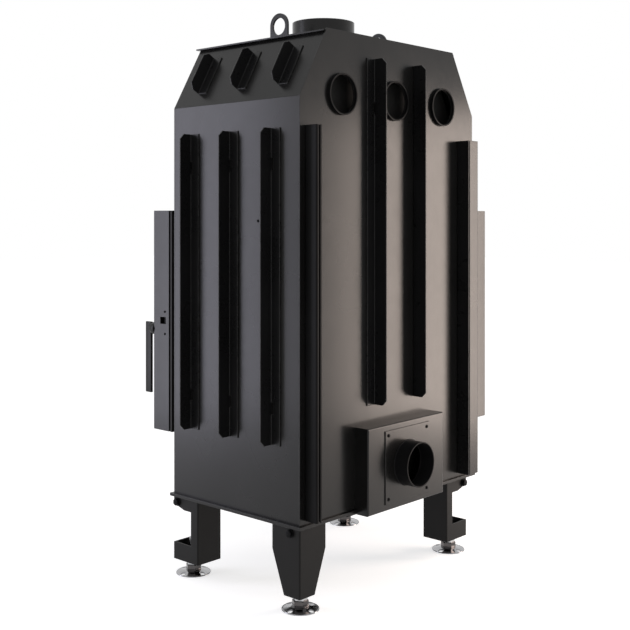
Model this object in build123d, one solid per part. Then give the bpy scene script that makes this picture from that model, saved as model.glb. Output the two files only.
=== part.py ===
from build123d import *

import os
from math import atan2, cos, pi, radians, sin, tan

# Corner fireplace insert, millimetres. +Z is up, -Y is the front with the door, +X is the closed side.
# Every place below is counted from the middle of the casing, on the floor. The written parts are moved
# so that the origin is the middle of the whole insert's footprint.

# Casing
CASING_HALF_X = 388.0
CASING_HALF_Y = 248.0
BASE_Z = 227.5
BASE_THICK = 8.0
BASE_OVERHANG = 7.0
FOLD_Z = 1333.6
TOP_Z = 1518.0
TOP_THICK = 4.0
TOP_RECESS = 4.0
HOOD_INSET = 104.0
TOP_OVERHANG_X = 8.5
TOP_OVERHANG_FRONT = 8.0
END_PLATE = 4.0
SHEET = 3.0
SHEET_RECESS = 3.0
SHEET_BEND = 4.0
HOOD_BEND = 5.0
CABLE_HOLE = (94.3, 1012.5)
CABLE_HOLE_R = 4.0
VENT_WIDTH = 34.0
VENT_GAP = 5.0
SIDE_VENT_Y = (-120.0, 130.0)
BACK_VENT_X = (-230.0, 250.0)

# Flue, lifting lugs and hot-air collars
FLUE_Y = -20.0
FLUE_R = 92.5
FLUE_WALL = 2.0
FLUE_TOP = 1600.0
FLUE_SOCKET = 70.0
LUG_X = 220.0
LUG_Y = 12.0
LUG_WIDTH = 68.0
LUG_THICK = 6.0
LUG_ARC_Z = 1561.0
LUG_HOLE_R = 24.0
LUG_HOLE_Z = 1558.5
COLLAR_PITCH = 226.0
COLLAR_Z = 1348.8
COLLAR_R = 56.0
COLLAR_BORE_R = 52.0
COLLAR_LENGTH = 9.0

# Fins and rails
FIN_THICK = 3.0
FIN_FOOT = 31.0
FIN_CHAMFER = 14.0
FIN_SLOT_DEPTH = 7.0
SIDE_FIN_HEIGHT = 42.0
SIDE_FIN_FIRST_Y = -171.7
SIDE_FIN_PITCH = 158.8
SIDE_FIN_Z = (429.0, 1255.0)
SIDE_FIN_SLOTS = ((509.0, 540.0), (1144.0, 1178.0))
HOOD_FIN_HEIGHT = 40.0
HOOD_FIN_LENGTH = 122.0
HOOD_FIN_Y = (-164.0, -5.0, 152.0)
HOOD_FIN_Z = 1422.5
BACK_FIN_X = 91.4
BACK_FIN_HEIGHT = 44.0
BACK_FIN_Z = (508.0, 1457.0)
BACK_FIN_SLOTS = ((1304.0, 1338.0),)
RAIL_DEPTH = 41.0
RAIL_RIGHT_X = (347.0, 369.0)
RAIL_RIGHT_Z = (247.0, 1258.0)
RAIL_RIGHT_LIP = 8.0
RAIL_LEFT_X = (-361.0, -309.0)
RAIL_LEFT_Z = (247.0, 1253.0)
RAIL_LEFT_GAP = 4.0

# Combustion air inlet
AIR_Z = 341.0
AIR_BOX_HALF_X = 171.5
AIR_BOX_Z = (223.4, 456.8)
AIR_BOX_DEPTH = 46.0
AIR_BOX_SHEET = 2.5
COVER_SIDE = 200.0
COVER_THICK = 3.0
COVER_SCREW_PITCH = 173.6
COVER_SCREW_R = 2.5
COVER_SCREW_HEAD = (4.75, 3.2)
PIPE_R = 62.0
PIPE_WALL = 3.0
PIPE_LENGTH = 44.5

# Damper and its slide
DAMPER_R = 60.0
DAMPER_WALL = 2.5
DAMPER_Y = (110.0, 244.0)
BEARING_R = 9.0
BEARING_RISE = 6.0
FLAP_Y = 150.0
FLAP_R = 56.0
FLAP_THICK = 3.0
FLAP_REST_TURN = 32.0
SPINDLE_R = 4.0
RUNNING_GAP = 0.05
ARM_RADIUS = 40.0
ARM_HALF_WIDTH = 9.0
ARM_THICK = 4.0
ARM_PIN_R = 3.0
ARM_PIN_GAP = 1.5
ARM_PIN_RISE = 14.0
SLIDE_Z = 256.0
SLIDE_ROD_R = 4.0
SLIDE_TRAVEL = 25.0
SLIDE_GAP = 0.3
SLIDE_REACH = 18.0
GUIDE_Y = (60.0, 64.0)
GUIDE_TOP = 270.0
KNOB_R = 10.0
KNOB_LENGTH = 26.0

# Legs and levelling feet
LEG_SHEET = 4.0
LEG_BOTTOM = 49.0
LEG_LEFT_X = -254.0
LEG_FRONT_Y = -143.0
LEG_TAPER_Z = 162.0
LEG_TAPER_REACH = 98.0
LEG_TAPER_FOOT = 56.0
LEG_PLAIN_REACH = 86.0
LEG_CUT_REACH = 102.0
LEG_POST = 29.0
LEG_FOOT_Z = 97.0
LEG_GUSSET_Z = 193.0
LEG_GUSSET_RISE = 13.0
LEG_BOLT_Z = 213.0
LEG_BOLT_BACK_Y = 215.0
LEG_BOLT_FRONT_Y = -229.0
LEG_BOLT_LEFT_X = -340.0
BOLT_R = 5.0
BOLT_ACROSS = 17.0
BOLT_HEAD = 7.0
WASHER_R = 12.0
WASHER_THICK = 2.5
TAB_THICK = 4.0
TAB_HALF_WIDTH = 12.0
PAD_X = 332.4
PAD_BACK_Y = 198.0
PAD_FRONT_Y = -224.4
PAD_R = 50.0
PAD_THICK = 4.0
PAD_HOLES = 4
PAD_HOLE_R = 7.0
PAD_HOLE_PCD = 78.0
STEM_R = 12.0
STEM_HEX = 39.0
STEM_HEX_Z = (8.0, 25.0)
STEM_TOP = 102.0
LOCK_NUT_ACROSS = 34.0
LOCK_NUT_HEIGHT = 12.0
HEX_CORNER_CUT = 2.0
BOSS_R = 16.0
BOSS_HEIGHT = 20.0

# Door: an L in plan that wraps the front and the left side
DOOR_X = (-474.0, 360.0)
DOOR_Y = (-370.0, 239.0)
DOOR_Z = (398.0, 1042.0)
DOOR_FRONT_DEPTH = 68.0
DOOR_SIDE_DEPTH = 62.0
DOOR_SHEET = 3.0
DOOR_BORDER = 40.0
DOOR_RAIL = 60.0
DOOR_LOCK_RAIL_X = 262.0
LOCK_CHANNEL_X = 288.0
SIDE_VIEW_END_Y = 140.0
GLASS_THICK = 4.0
GLASS_GAP = 0.2
PANE_END_X = 300.0
PANE_END_Y = 160.0
PANE_BACK = 7.6
GASKET_WIDTH = 10.0
GASKET_INSET = 25.0
GASKET_END_X = 280.0
GASKET_END_Y = 170.0
GASKET_GAP = 0.3
CLIP_WIDTH = 24.0
CLIP_X = (-300.0, -70.0, 160.0)
CLIP_Y = (-240.0, -60.0, 100.0)
HINGE_X = -462.0
HINGE_Y = 205.0
HINGE_PIN_R = 5.0
HINGE_PIN_HEAD = 4.0
HINGE_EYE_R = 10.0
HINGE_GAP = 2.0
HINGE_BLOCK = 20.0
HINGE_BLOCK_HALF = 14.0
HINGE_ARM = 8.0
HINGE_FOOT = (60.0, 40.0, 4.0)

# Surround that the door closes on
FLANGE_Y = (-295.0, -288.0)
FLANGE_X = (-405.0, -398.0)
FLANGE_SIDE_END_Y = 180.0

# Handle and latch
LOCK_X = 346.0
LOCK_Z = 693.0
HANDLE_BAR_X = (342.0, 350.0)
HANDLE_BAR_Y = (-422.6, -396.5)
HANDLE_BAR_Z = (500.0, 711.0)
HANDLE_BOSS_R = 18.0
HANDLE_NECK_R = 14.0
HANDLE_BOSS_LENGTH = 19.0
HANDLE_GAP = 0.3
LATCH_SPINDLE_R = 6.0
HOOK_Y = (-335.0, -329.0)
HOOK_REACH = 36.0
HOOK_WIDTH = 10.0
HOOK_EYE_R = 7.5
WINDOW_Y = (-341.0, -316.0)
WINDOW_Z = (710.0, 730.0)
REAR_SLOT_Z = (643.0, 768.0)
CASE_SHEET = 3.0
CASE_Z = (668.0, 728.0)
CASE_X = 330.0
LATCH_SCREW_Y = -320.0
LATCH_SCREW_Z = (681.0, 746.0)
LATCH_SCREW_R = 2.0
LATCH_SCREW_HEAD = (3.6, 2.0)
KEEPER_X = 298.0
KEEPER_ARM = 6.0
KEEPER_LIP = (22.0, 4.0)
KEEPER_FOOT = (32.0, 3.0)
KEEPER_HALF_HEIGHT = 10.0

# Firebox
SHELL_GAP = 48.0
SHELL_SHEET = 4.0
SHELL_TOP = 1470.0
SHELL_BACK_Y = 200.0
HEARTH_Z = 429.0
LINING = 30.0
FLOOR_LINING = 25.0
LINING_TOP = 1060.0
BOARD_JOINT = 1.0
BOARD_CHAMFER = 2.0
LEDGE_THICK = 8.0
GRATE_CENTRE = (-20.0, -40.0)
GRATE_SIZE = (262.0, 222.0)
GRATE_SLOTS = 15
GRATE_RIM = 12.0
GRATE_SLOT_SHARE = 0.56
ASH_PAN_Z = 352.0
ASH_PAN_RIM = 6.0
PAN_SHEET = 2.0
BAFFLE_THICK = 30.0
BAFFLE_FRONT_Y = -150.0
GUARD_HEIGHT = 46.0
GUARD_THICK = 6.0
GUARD_SLOT = (60.0, 16.0)
GUARD_SLOT_PITCH = 85.0

# Worked out from the sizes above
PLATE_TOP = TOP_Z - TOP_RECESS
WALL_TOP = PLATE_TOP - TOP_THICK
CASING_FLOOR = BASE_Z + BASE_THICK
HOOD_ANGLE = atan2(HOOD_INSET, TOP_Z - FOLD_Z)
HOOD_NORMAL = (cos(HOOD_ANGLE), 0, sin(HOOD_ANGLE))
SHEET_X = CASING_HALF_X - SHEET_RECESS
PANEL_IN_Y = CASING_HALF_Y - END_PLATE
SHELL_X = CASING_HALF_X - SHELL_GAP
FIREBOX_X = (-SHELL_X + SHELL_SHEET, SHELL_X - SHELL_SHEET)
FIREBOX_Y = (-PANEL_IN_Y, SHELL_BACK_Y - SHELL_SHEET)
FLOOR_TOP = HEARTH_Z + FLOOR_LINING
VIEW_Z = (DOOR_Z[0] + DOOR_RAIL, DOOR_Z[1] - DOOR_RAIL)
DOOR_BACK_Y = DOOR_Y[0] + DOOR_FRONT_DEPTH
DOOR_IN_X = DOOR_X[0] + DOOR_SIDE_DEPTH
FIN_TIP_X = SHEET_X + SIDE_FIN_HEIGHT
FLUE_BORE = FLUE_R - FLUE_WALL
COVER_Y = CASING_HALF_Y + AIR_BOX_DEPTH
PIPE_Y = COVER_Y + COVER_THICK
PIPE_END_Y = PIPE_Y + PIPE_LENGTH
SHIFT_X = -(DOOR_X[0] + FIN_TIP_X) / 2
SHIFT_Y = -(HANDLE_BAR_Y[0] + PIPE_END_Y) / 2

# Feet: middle of each pad, corner of each leg, its two webs, and its bolt with the way it points
PADS = {
    "back_right": (PAD_X, PAD_BACK_Y),
    "back_left": (-PAD_X, PAD_BACK_Y),
    "front_right": (PAD_X, PAD_FRONT_Y),
    "front_left": (-PAD_X, PAD_FRONT_Y),
}
LEG_CORNERS = {
    "back_right": (CASING_HALF_X, CASING_HALF_Y),
    "back_left": (LEG_LEFT_X, CASING_HALF_Y),
    "front_right": (CASING_HALF_X, LEG_FRONT_Y),
    "front_left": (LEG_LEFT_X, LEG_FRONT_Y),
}
LEG_WEBS = {
    "back_right": (("tapered", LEG_TAPER_REACH), ("tapered", LEG_TAPER_REACH)),
    "back_left": (("plain", LEG_PLAIN_REACH), ("cut", LEG_CUT_REACH)),
    "front_right": (("cut", LEG_CUT_REACH), ("plain", LEG_PLAIN_REACH)),
    "front_left": (("cut", LEG_CUT_REACH), ("cut", LEG_CUT_REACH)),
}
LEG_BOLTS = {
    "back_right": ((CASING_HALF_X, LEG_BOLT_BACK_Y, LEG_BOLT_Z), (1, 0, 0)),
    "back_left": ((LEG_BOLT_LEFT_X, CASING_HALF_Y, LEG_BOLT_Z), (0, 1, 0)),
    "front_right": ((CASING_HALF_X, LEG_BOLT_FRONT_Y, LEG_BOLT_Z), (1, 0, 0)),
    "front_left": ((LEG_LEFT_X, LEG_BOLT_FRONT_Y, LEG_BOLT_Z), (1, 0, 0)),
}


def block(x, y, z):
    """Box between the limits of the three pairs."""
    size = (x[1] - x[0], y[1] - y[0], z[1] - z[0])
    return Pos((x[0] + x[1]) / 2, (y[0] + y[1]) / 2, (z[0] + z[1]) / 2) * Box(*size)


def rod(start, direction, radius, length):
    place = Plane(origin=start, z_dir=direction)
    return place * Cylinder(radius, length, align=(Align.CENTER, Align.CENTER, Align.MIN))


def tube(start, direction, radius, bore, length):
    return rod(start, direction, radius, length) - rod(start, direction, bore, length)


def outline(points, rounds=()):
    """Closed face through the points, with the named corners rounded to their radii."""
    face = make_face(Polyline(*points, close=True))
    for corner, radius in rounds:
        nearest = min(face.vertices(), key=lambda v: abs(v.X - corner[0]) + abs(v.Y - corner[1]))
        face = fillet(nearest, radius)
    return face


def along_x(face, x):
    """Face drawn in Y and Z, as a solid from x[0] to x[1]."""
    return extrude(Plane(origin=(x[0], 0, 0), x_dir=(0, 1, 0), z_dir=(1, 0, 0)) * face, x[1] - x[0])


def along_y(face, y):
    """Face drawn in X and Z, as a solid from y[0] to y[1]."""
    return extrude(Plane(origin=(0, y[1], 0), x_dir=(1, 0, 0), z_dir=(0, -1, 0)) * face, y[1] - y[0])


def along_z(face, z):
    return extrude(Plane(origin=(0, 0, z[0])) * face, z[1] - z[0])


def fold_at(inward):
    """Place of the hood's fold on the right, in X and Z, moved inward by a distance."""
    return (CASING_HALF_X - inward, FOLD_Z - inward * tan(HOOD_ANGLE / 2))


def hood_x(inward, z):
    """Half width of the hood at a height, moved inward by a distance."""
    fold = fold_at(inward)
    return fold[0] - (z - fold[1]) * tan(HOOD_ANGLE)


def hood_outline(inward, z_low, z_high):
    """House-shaped outline of the casing, moved inward by a distance."""
    fold = fold_at(inward)
    top = (hood_x(inward, z_high), z_high)
    right = [(fold[0], z_low), fold, top]
    left = [(-x, z) for x, z in reversed(right)]
    return outline(right + left)


def l_plan(x, y, front_depth, side_depth):
    """L in plan: a front leg along X and a side leg along Y that share the corner x[0], y[0]."""
    return [
        (x[0], y[0]),
        (x[1], y[0]),
        (x[1], y[0] + front_depth),
        (x[0] + side_depth, y[0] + front_depth),
        (x[0] + side_depth, y[1]),
        (x[0], y[1]),
    ]


def l_solid(x, y, front_depth, side_depth, z):
    return along_z(outline(l_plan(x, y, front_depth, side_depth)), z)


def shank(radius, length):
    return Cylinder(radius, length, align=(Align.CENTER, Align.CENTER, Align.MAX))


def pan_head(place, direction):
    """Cover screw: pan head with a cross recess on the plate at place, shank behind it."""
    radius, height = COVER_SCREW_HEAD
    head = Cylinder(radius, height, align=(Align.CENTER, Align.CENTER, Align.MIN))
    head = fillet(head.edges().group_by(Axis.Z)[-1], height * 0.6)
    recess_width = radius / 4
    recess_depth = height * 0.75
    recess = Box(radius, recess_width, recess_depth) + Box(recess_width, radius, recess_depth)
    head -= Pos(0, 0, height) * recess
    return Plane(origin=place, z_dir=direction) * (head + shank(COVER_SCREW_R, COVER_THICK))


def hex_bolt(place, direction, length):
    """Leg bolt: washer and hexagon head on the web at place, shank behind them."""
    washer = Cylinder(WASHER_R, WASHER_THICK, align=(Align.CENTER, Align.CENTER, Align.MIN))
    head = extrude(RegularPolygon(BOLT_ACROSS / 2, 6, major_radius=False), BOLT_HEAD)
    bolt = washer + Pos(0, 0, WASHER_THICK) * head + shank(BOLT_R, length)
    return Plane(origin=place, z_dir=direction) * bolt


def hexagon(across, height):
    """Hexagon standing on XY, its corners turned off at both ends."""
    prism = extrude(RegularPolygon(across / 2, 6, major_radius=False), height)
    crown_r = across / 2 / cos(pi / 6)
    crown = Cylinder(crown_r, height, align=(Align.CENTER, Align.CENTER, Align.MIN))
    return prism & chamfer(crown.edges().filter_by(GeomType.CIRCLE), HEX_CORNER_CUT)


def group(solids):
    return Compound(list(solids))


# Casing

def base_plate():
    plate = block(
        (-CASING_HALF_X - BASE_OVERHANG, CASING_HALF_X + BASE_OVERHANG),
        (-CASING_HALF_Y - BASE_OVERHANG, CASING_HALF_Y + BASE_OVERHANG),
        (BASE_Z, CASING_FLOOR),
    )
    notch = AIR_BOX_HALF_X + 1
    through = (BASE_Z - 1, CASING_FLOOR + 1)
    plate -= block((-notch, notch), (CASING_HALF_Y, CASING_HALF_Y + BASE_OVERHANG + 1), through)
    side_vent_x = SHELL_X + VENT_GAP
    plate -= block((side_vent_x, side_vent_x + VENT_WIDTH), SIDE_VENT_Y, through)
    back_vent_y = SHELL_BACK_Y + VENT_GAP
    return plate - block(BACK_VENT_X, (back_vent_y, back_vent_y + VENT_WIDTH), through)


def slide_slot(y):
    """Slot through what the air slide's rod passes, as long as the slide's travel."""
    half_x = SLIDE_TRAVEL + SLIDE_ROD_R + 2
    half_z = SLIDE_ROD_R + SLIDE_GAP
    return block((-half_x, half_x), y, (SLIDE_Z - half_z, SLIDE_Z + half_z))


def slide_guide():
    """Upright plate on the base plate, with the slot that carries the slide's rod."""
    half_x = SLIDE_TRAVEL + 3 * SLIDE_ROD_R
    plate = block((-half_x, half_x), GUIDE_Y, (CASING_FLOOR, GUIDE_TOP))
    return plate - slide_slot((GUIDE_Y[0] - 1, GUIDE_Y[1] + 1))


def folded_wall():
    """Closed side: one sheet from the base plate, folded inward at the hood."""
    outer = fold_at(SHEET_RECESS)
    inner = fold_at(SHEET_RECESS + SHEET)
    points = [
        (outer[0], CASING_FLOOR),
        outer,
        (hood_x(SHEET_RECESS, WALL_TOP), WALL_TOP),
        (hood_x(SHEET_RECESS + SHEET, WALL_TOP), WALL_TOP),
        inner,
        (inner[0], CASING_FLOOR),
    ]
    face = outline(points, [(outer, HOOD_BEND), (inner, HOOD_BEND - SHEET)])
    return along_y(face, (-PANEL_IN_Y, PANEL_IN_Y))


def right_wall():
    hole = rod((SHEET_X - SHEET - 1, CABLE_HOLE[0], CABLE_HOLE[1]), (1, 0, 0), CABLE_HOLE_R, SHEET + 2)
    return folded_wall() - hole


def left_wall():
    wall = mirror(folded_wall(), Plane.YZ)
    opening_z = (VIEW_Z[0] - SHEET, VIEW_Z[1] + SHEET)
    opening_y = (-CASING_HALF_Y, SIDE_VIEW_END_Y + SHEET)
    return wall - block((-CASING_HALF_X - 1, -CASING_HALF_X + 20), opening_y, opening_z)


def back_panel():
    """End plate that stands proud of the walls and of the top plate."""
    panel = along_y(hood_outline(0, CASING_FLOOR, TOP_Z), (PANEL_IN_Y, CASING_HALF_Y))
    for step in (-1, 0, 1):
        bore_start = (step * COLLAR_PITCH, PANEL_IN_Y - 1, COLLAR_Z)
        panel -= rod(bore_start, (0, 1, 0), COLLAR_BORE_R, END_PLATE + 2)
    bore = DAMPER_R - DAMPER_WALL
    return panel - rod((0, PANEL_IN_Y - 1, AIR_Z), (0, 1, 0), bore, END_PLATE + 2)


def front_panel():
    flush = hood_outline(SHEET_RECESS, CASING_FLOOR, WALL_TOP)
    panel = along_y(flush, (-CASING_HALF_Y, -PANEL_IN_Y))
    opening_x = (-CASING_HALF_X - 1, DOOR_LOCK_RAIL_X + SHEET)
    opening_z = (VIEW_Z[0] - SHEET, VIEW_Z[1] + SHEET)
    through = (-CASING_HALF_Y - 1, -PANEL_IN_Y + 1)
    panel -= block(opening_x, through, opening_z)
    return panel - slide_slot(through)


def top_plate():
    """Plate that covers the front panel and both slopes, and butts against the back panel."""
    half_x = hood_x(0, PLATE_TOP) + TOP_OVERHANG_X
    front_y = -CASING_HALF_Y - TOP_OVERHANG_FRONT
    plate = block((-half_x, half_x), (front_y, PANEL_IN_Y), (WALL_TOP, PLATE_TOP))
    return plate - rod((0, FLUE_Y, WALL_TOP - 1), (0, 0, 1), FLUE_BORE, TOP_THICK + 2)


def door_surround():
    """Flange frame that the gasket presses on, and the throat that joins it to the firebox."""
    flange_depth = (FLANGE_Y[1] - FLANGE_Y[0], FLANGE_X[1] - FLANGE_X[0])
    flange_x = (FLANGE_X[0], DOOR_X[1])
    flange_y = (FLANGE_Y[0], FLANGE_SIDE_END_Y)
    frame = l_solid(flange_x, flange_y, *flange_depth, DOOR_Z)
    view_x = (FLANGE_X[0] - 1, DOOR_LOCK_RAIL_X)
    view_y = (FLANGE_Y[0] - 1, SIDE_VIEW_END_Y)
    view = block(view_x, view_y, VIEW_Z)
    throat_x = (FLANGE_X[1], DOOR_LOCK_RAIL_X + SHEET)
    throat_y = (FLANGE_Y[1], SIDE_VIEW_END_Y + SHEET)
    throat_depth = (-PANEL_IN_Y - FLANGE_Y[1], -SHELL_X - FLANGE_X[1])
    throat = l_solid(throat_x, throat_y, *throat_depth, (VIEW_Z[0] - SHEET, VIEW_Z[1] + SHEET))
    return (frame + throat) - view


def flue_collar():
    """Smoke outlet: a socket on the top plate, and the pipe from the firebox that the flue pipe rests on."""
    outer = tube((0, FLUE_Y, PLATE_TOP), (0, 0, 1), FLUE_R, FLUE_BORE, FLUE_TOP - PLATE_TOP)
    inner_height = FLUE_TOP - FLUE_SOCKET - SHELL_TOP
    inner = tube((0, FLUE_Y, SHELL_TOP), (0, 0, 1), FLUE_BORE, FLUE_BORE - FLUE_WALL, inner_height)
    return outer + inner


def lifting_lugs():
    half = LUG_WIDTH / 2
    lugs = []
    for middle in (-LUG_X, LUG_X):
        x = (middle - LUG_THICK / 2, middle + LUG_THICK / 2)
        lug = block(x, (LUG_Y - half, LUG_Y + half), (PLATE_TOP, LUG_ARC_Z))
        lug += rod((x[0], LUG_Y, LUG_ARC_Z), (1, 0, 0), half, LUG_THICK)
        lug -= rod((x[0] - 1, LUG_Y, LUG_HOLE_Z), (1, 0, 0), LUG_HOLE_R, LUG_THICK + 2)
        lugs.append(lug)
    return group(lugs)


def hot_air_collars():
    starts = [(step * COLLAR_PITCH, CASING_HALF_Y, COLLAR_Z) for step in (-1, 0, 1)]
    return group(tube(start, (0, 1, 0), COLLAR_R, COLLAR_BORE_R, COLLAR_LENGTH) for start in starts)


# Fins and rails

def fin(length, height, slots):
    """Angle strip: foot flat on XY towards +X, fin standing on Z, run along Y from zero."""
    section = [
        (-FIN_THICK, 0),
        (FIN_FOOT, 0),
        (FIN_FOOT, FIN_THICK),
        (0, FIN_THICK),
        (0, height),
        (-FIN_THICK, height),
    ]
    face = outline(section, [((-FIN_THICK, 0), SHEET_BEND), ((0, FIN_THICK), SHEET_BEND - FIN_THICK)])
    strip = Pos(0, length, 0) * extrude(Plane.XZ * face, length)
    corner = FIN_CHAMFER
    for end, inward in ((0, 1), (length, -1)):
        cut = [(end, height - corner), (end, height + 1), (end + inward * (corner + 1), height + 1)]
        strip -= along_x(outline(cut), (-FIN_THICK - 1, 1))
    for low, high in slots:
        strip -= block((0, FIN_SLOT_DEPTH), (low, high), (-1, SHEET_BEND))
    return strip


def fin_slots(slots, start):
    return [(low - start, high - start) for low, high in slots]


def side_fin(index):
    low, high = SIDE_FIN_Z
    strip = fin(high - low, SIDE_FIN_HEIGHT, fin_slots(SIDE_FIN_SLOTS, low))
    y = SIDE_FIN_FIRST_Y + index * SIDE_FIN_PITCH
    return Plane(origin=(SHEET_X, y, low), x_dir=(0, 1, 0), z_dir=(1, 0, 0)) * strip


def hood_fins_right():
    """Three short fins up the hood slope, centred on one height."""
    strip = Pos(0, -HOOD_FIN_LENGTH / 2, 0) * fin(HOOD_FIN_LENGTH, HOOD_FIN_HEIGHT, [])
    x = hood_x(SHEET_RECESS, HOOD_FIN_Z)
    return group(
        Plane(origin=(x, y, HOOD_FIN_Z), x_dir=(0, 1, 0), z_dir=HOOD_NORMAL) * strip for y in HOOD_FIN_Y
    )


def hood_fins_left():
    return group(mirror(strip, Plane.YZ) for strip in hood_fins_right().solids())


def back_fin_left():
    low, high = BACK_FIN_Z
    strip = fin(high - low, BACK_FIN_HEIGHT, fin_slots(BACK_FIN_SLOTS, low))
    return Plane(origin=(-BACK_FIN_X, CASING_HALF_Y, low), x_dir=(-1, 0, 0), z_dir=(0, 1, 0)) * strip


def back_fin_right():
    return mirror(back_fin_left(), Plane.YZ)


def corner_rail_right():
    """Narrow channel with a lip on both webs, open to the back between the lips."""
    x0, x1 = RAIL_RIGHT_X
    y0 = CASING_HALF_Y
    y1 = y0 + RAIL_DEPTH
    points = [
        (x0, y0),
        (x1, y0),
        (x1, y1),
        (x1 - RAIL_RIGHT_LIP, y1),
        (x1 - RAIL_RIGHT_LIP, y1 - SHEET),
        (x1 - SHEET, y1 - SHEET),
        (x1 - SHEET, y0 + SHEET),
        (x0 + SHEET, y0 + SHEET),
        (x0 + SHEET, y1 - SHEET),
        (x0 + RAIL_RIGHT_LIP, y1 - SHEET),
        (x0 + RAIL_RIGHT_LIP, y1),
        (x0, y1),
    ]
    bends = [(corner, SHEET_BEND) for corner in ((x0, y0), (x1, y0), (x0, y1), (x1, y1))]
    return along_z(outline(points, bends), RAIL_RIGHT_Z)


def corner_rail_left():
    """Wide channel with one lipped web, and a narrow gap between the lip and the other web."""
    x0, x1 = RAIL_LEFT_X
    y0 = CASING_HALF_Y
    y1 = y0 + RAIL_DEPTH
    lip = x1 - SHEET - RAIL_LEFT_GAP
    points = [
        (x0, y0),
        (x1, y0),
        (x1, y1),
        (x1 - SHEET, y1),
        (x1 - SHEET, y0 + SHEET),
        (x0 + SHEET, y0 + SHEET),
        (x0 + SHEET, y1 - SHEET),
        (lip, y1 - SHEET),
        (lip, y1),
        (x0, y1),
    ]
    bends = [(corner, SHEET_BEND) for corner in ((x0, y0), (x1, y0), (x0, y1))]
    return along_z(outline(points, bends), RAIL_LEFT_Z)


# Combustion air inlet

def air_box():
    y = (CASING_HALF_Y, COVER_Y)
    body = block((-AIR_BOX_HALF_X, AIR_BOX_HALF_X), y, AIR_BOX_Z)
    body = fillet(body.faces().sort_by(Axis.Y)[-1].edges(), SHEET_BEND)
    inside = block(
        (-AIR_BOX_HALF_X + AIR_BOX_SHEET, AIR_BOX_HALF_X - AIR_BOX_SHEET),
        (y[0] - 1, y[1] - AIR_BOX_SHEET),
        (AIR_BOX_Z[0] + AIR_BOX_SHEET, AIR_BOX_Z[1] - AIR_BOX_SHEET),
    )
    inside = fillet(inside.faces().sort_by(Axis.Y)[-1].edges(), SHEET_BEND - AIR_BOX_SHEET)
    return body - inside - rod((0, y[1] - 10, AIR_Z), (0, 1, 0), PIPE_R, 20)


def cover_screw_places():
    half = COVER_SCREW_PITCH / 2
    return [(x, PIPE_Y, AIR_Z + z) for x in (-half, half) for z in (-half, half)]


def air_box_cover():
    half = COVER_SIDE / 2
    edge_break = 0.8
    plate = block((-half, half), (COVER_Y, PIPE_Y), (AIR_Z - half, AIR_Z + half))
    plate = chamfer(plate.faces().sort_by(Axis.Y)[-1].edges(), edge_break)
    plate -= rod((0, COVER_Y - 1, AIR_Z), (0, 1, 0), PIPE_R - PIPE_WALL, COVER_THICK + 2)
    for x, _, z in cover_screw_places():
        plate -= rod((x, COVER_Y - 1, z), (0, 1, 0), COVER_SCREW_R, COVER_THICK + 2)
    return plate


def air_pipe():
    return tube((0, PIPE_Y, AIR_Z), (0, 1, 0), PIPE_R, PIPE_R - PIPE_WALL, PIPE_LENGTH)


def air_cover_screws():
    return group(pan_head(place, (0, 1, 0)) for place in cover_screw_places())


# Damper

def damper_housing():
    """Pipe into the air jacket, with a bearing above and below for the flap's spindle."""
    start = (0, DAMPER_Y[0], AIR_Z)
    length = DAMPER_Y[1] - DAMPER_Y[0]
    bearing_z = DAMPER_R + BEARING_RISE
    bearing = rod((0, FLAP_Y, AIR_Z - bearing_z), (0, 0, 1), BEARING_R, 2 * bearing_z)
    body = rod(start, (0, 1, 0), DAMPER_R, length) + bearing
    body -= rod(start, (0, 1, 0), DAMPER_R - DAMPER_WALL, length)
    through_z = bearing_z + 1
    return body - rod((0, FLAP_Y, AIR_Z - through_z), (0, 0, 1), SPINDLE_R + RUNNING_GAP, 2 * through_z)


def damper_flap():
    """Disc on an upright spindle, with a forked arm below the housing that the slide's pin moves."""
    disc = rod((0, -FLAP_THICK / 2, 0), (0, 1, 0), FLAP_R, FLAP_THICK)
    disc = Pos(0, FLAP_Y, AIR_Z) * Rot(0, 0, FLAP_REST_TURN) * disc
    arm_low = SLIDE_Z + SLIDE_ROD_R + 2
    arm_z = (arm_low, arm_low + ARM_THICK)
    pin_y = FLAP_Y - ARM_RADIUS
    arm_y = (pin_y - ARM_PIN_RISE, FLAP_Y)
    arm = block((-ARM_HALF_WIDTH, ARM_HALF_WIDTH), arm_y, arm_z)
    arm += rod((0, FLAP_Y, arm_low), (0, 0, 1), ARM_HALF_WIDTH, ARM_THICK)
    fork = ARM_PIN_R + ARM_PIN_GAP
    arm -= block((-fork, fork), (arm_y[0] - 1, pin_y + 2 * ARM_PIN_R), (arm_z[0] - 1, arm_z[1] + 1))
    spindle_top = AIR_Z + DAMPER_R + 1.5 * BEARING_RISE
    spindle = rod((0, FLAP_Y, arm_low), (0, 0, 1), SPINDLE_R, spindle_top - arm_low)
    return disc + arm + spindle


def air_slide():
    """Rod with a knob in front of the casing and, at its end, the upright pin in the flap's fork."""
    end_y = FLAP_Y - ARM_RADIUS
    front_y = -CASING_HALF_Y - SLIDE_REACH
    body = rod((0, front_y, SLIDE_Z), (0, 1, 0), SLIDE_ROD_R, end_y - front_y + ARM_PIN_R)
    body += rod((0, end_y, SLIDE_Z), (0, 0, 1), ARM_PIN_R, ARM_PIN_RISE)
    knob = rod((0, front_y - KNOB_LENGTH, SLIDE_Z), (0, 1, 0), KNOB_R, KNOB_LENGTH)
    knob = fillet(knob.edges().filter_by(GeomType.CIRCLE), 0.3 * KNOB_R)
    return body + knob


# Legs and feet

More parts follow.
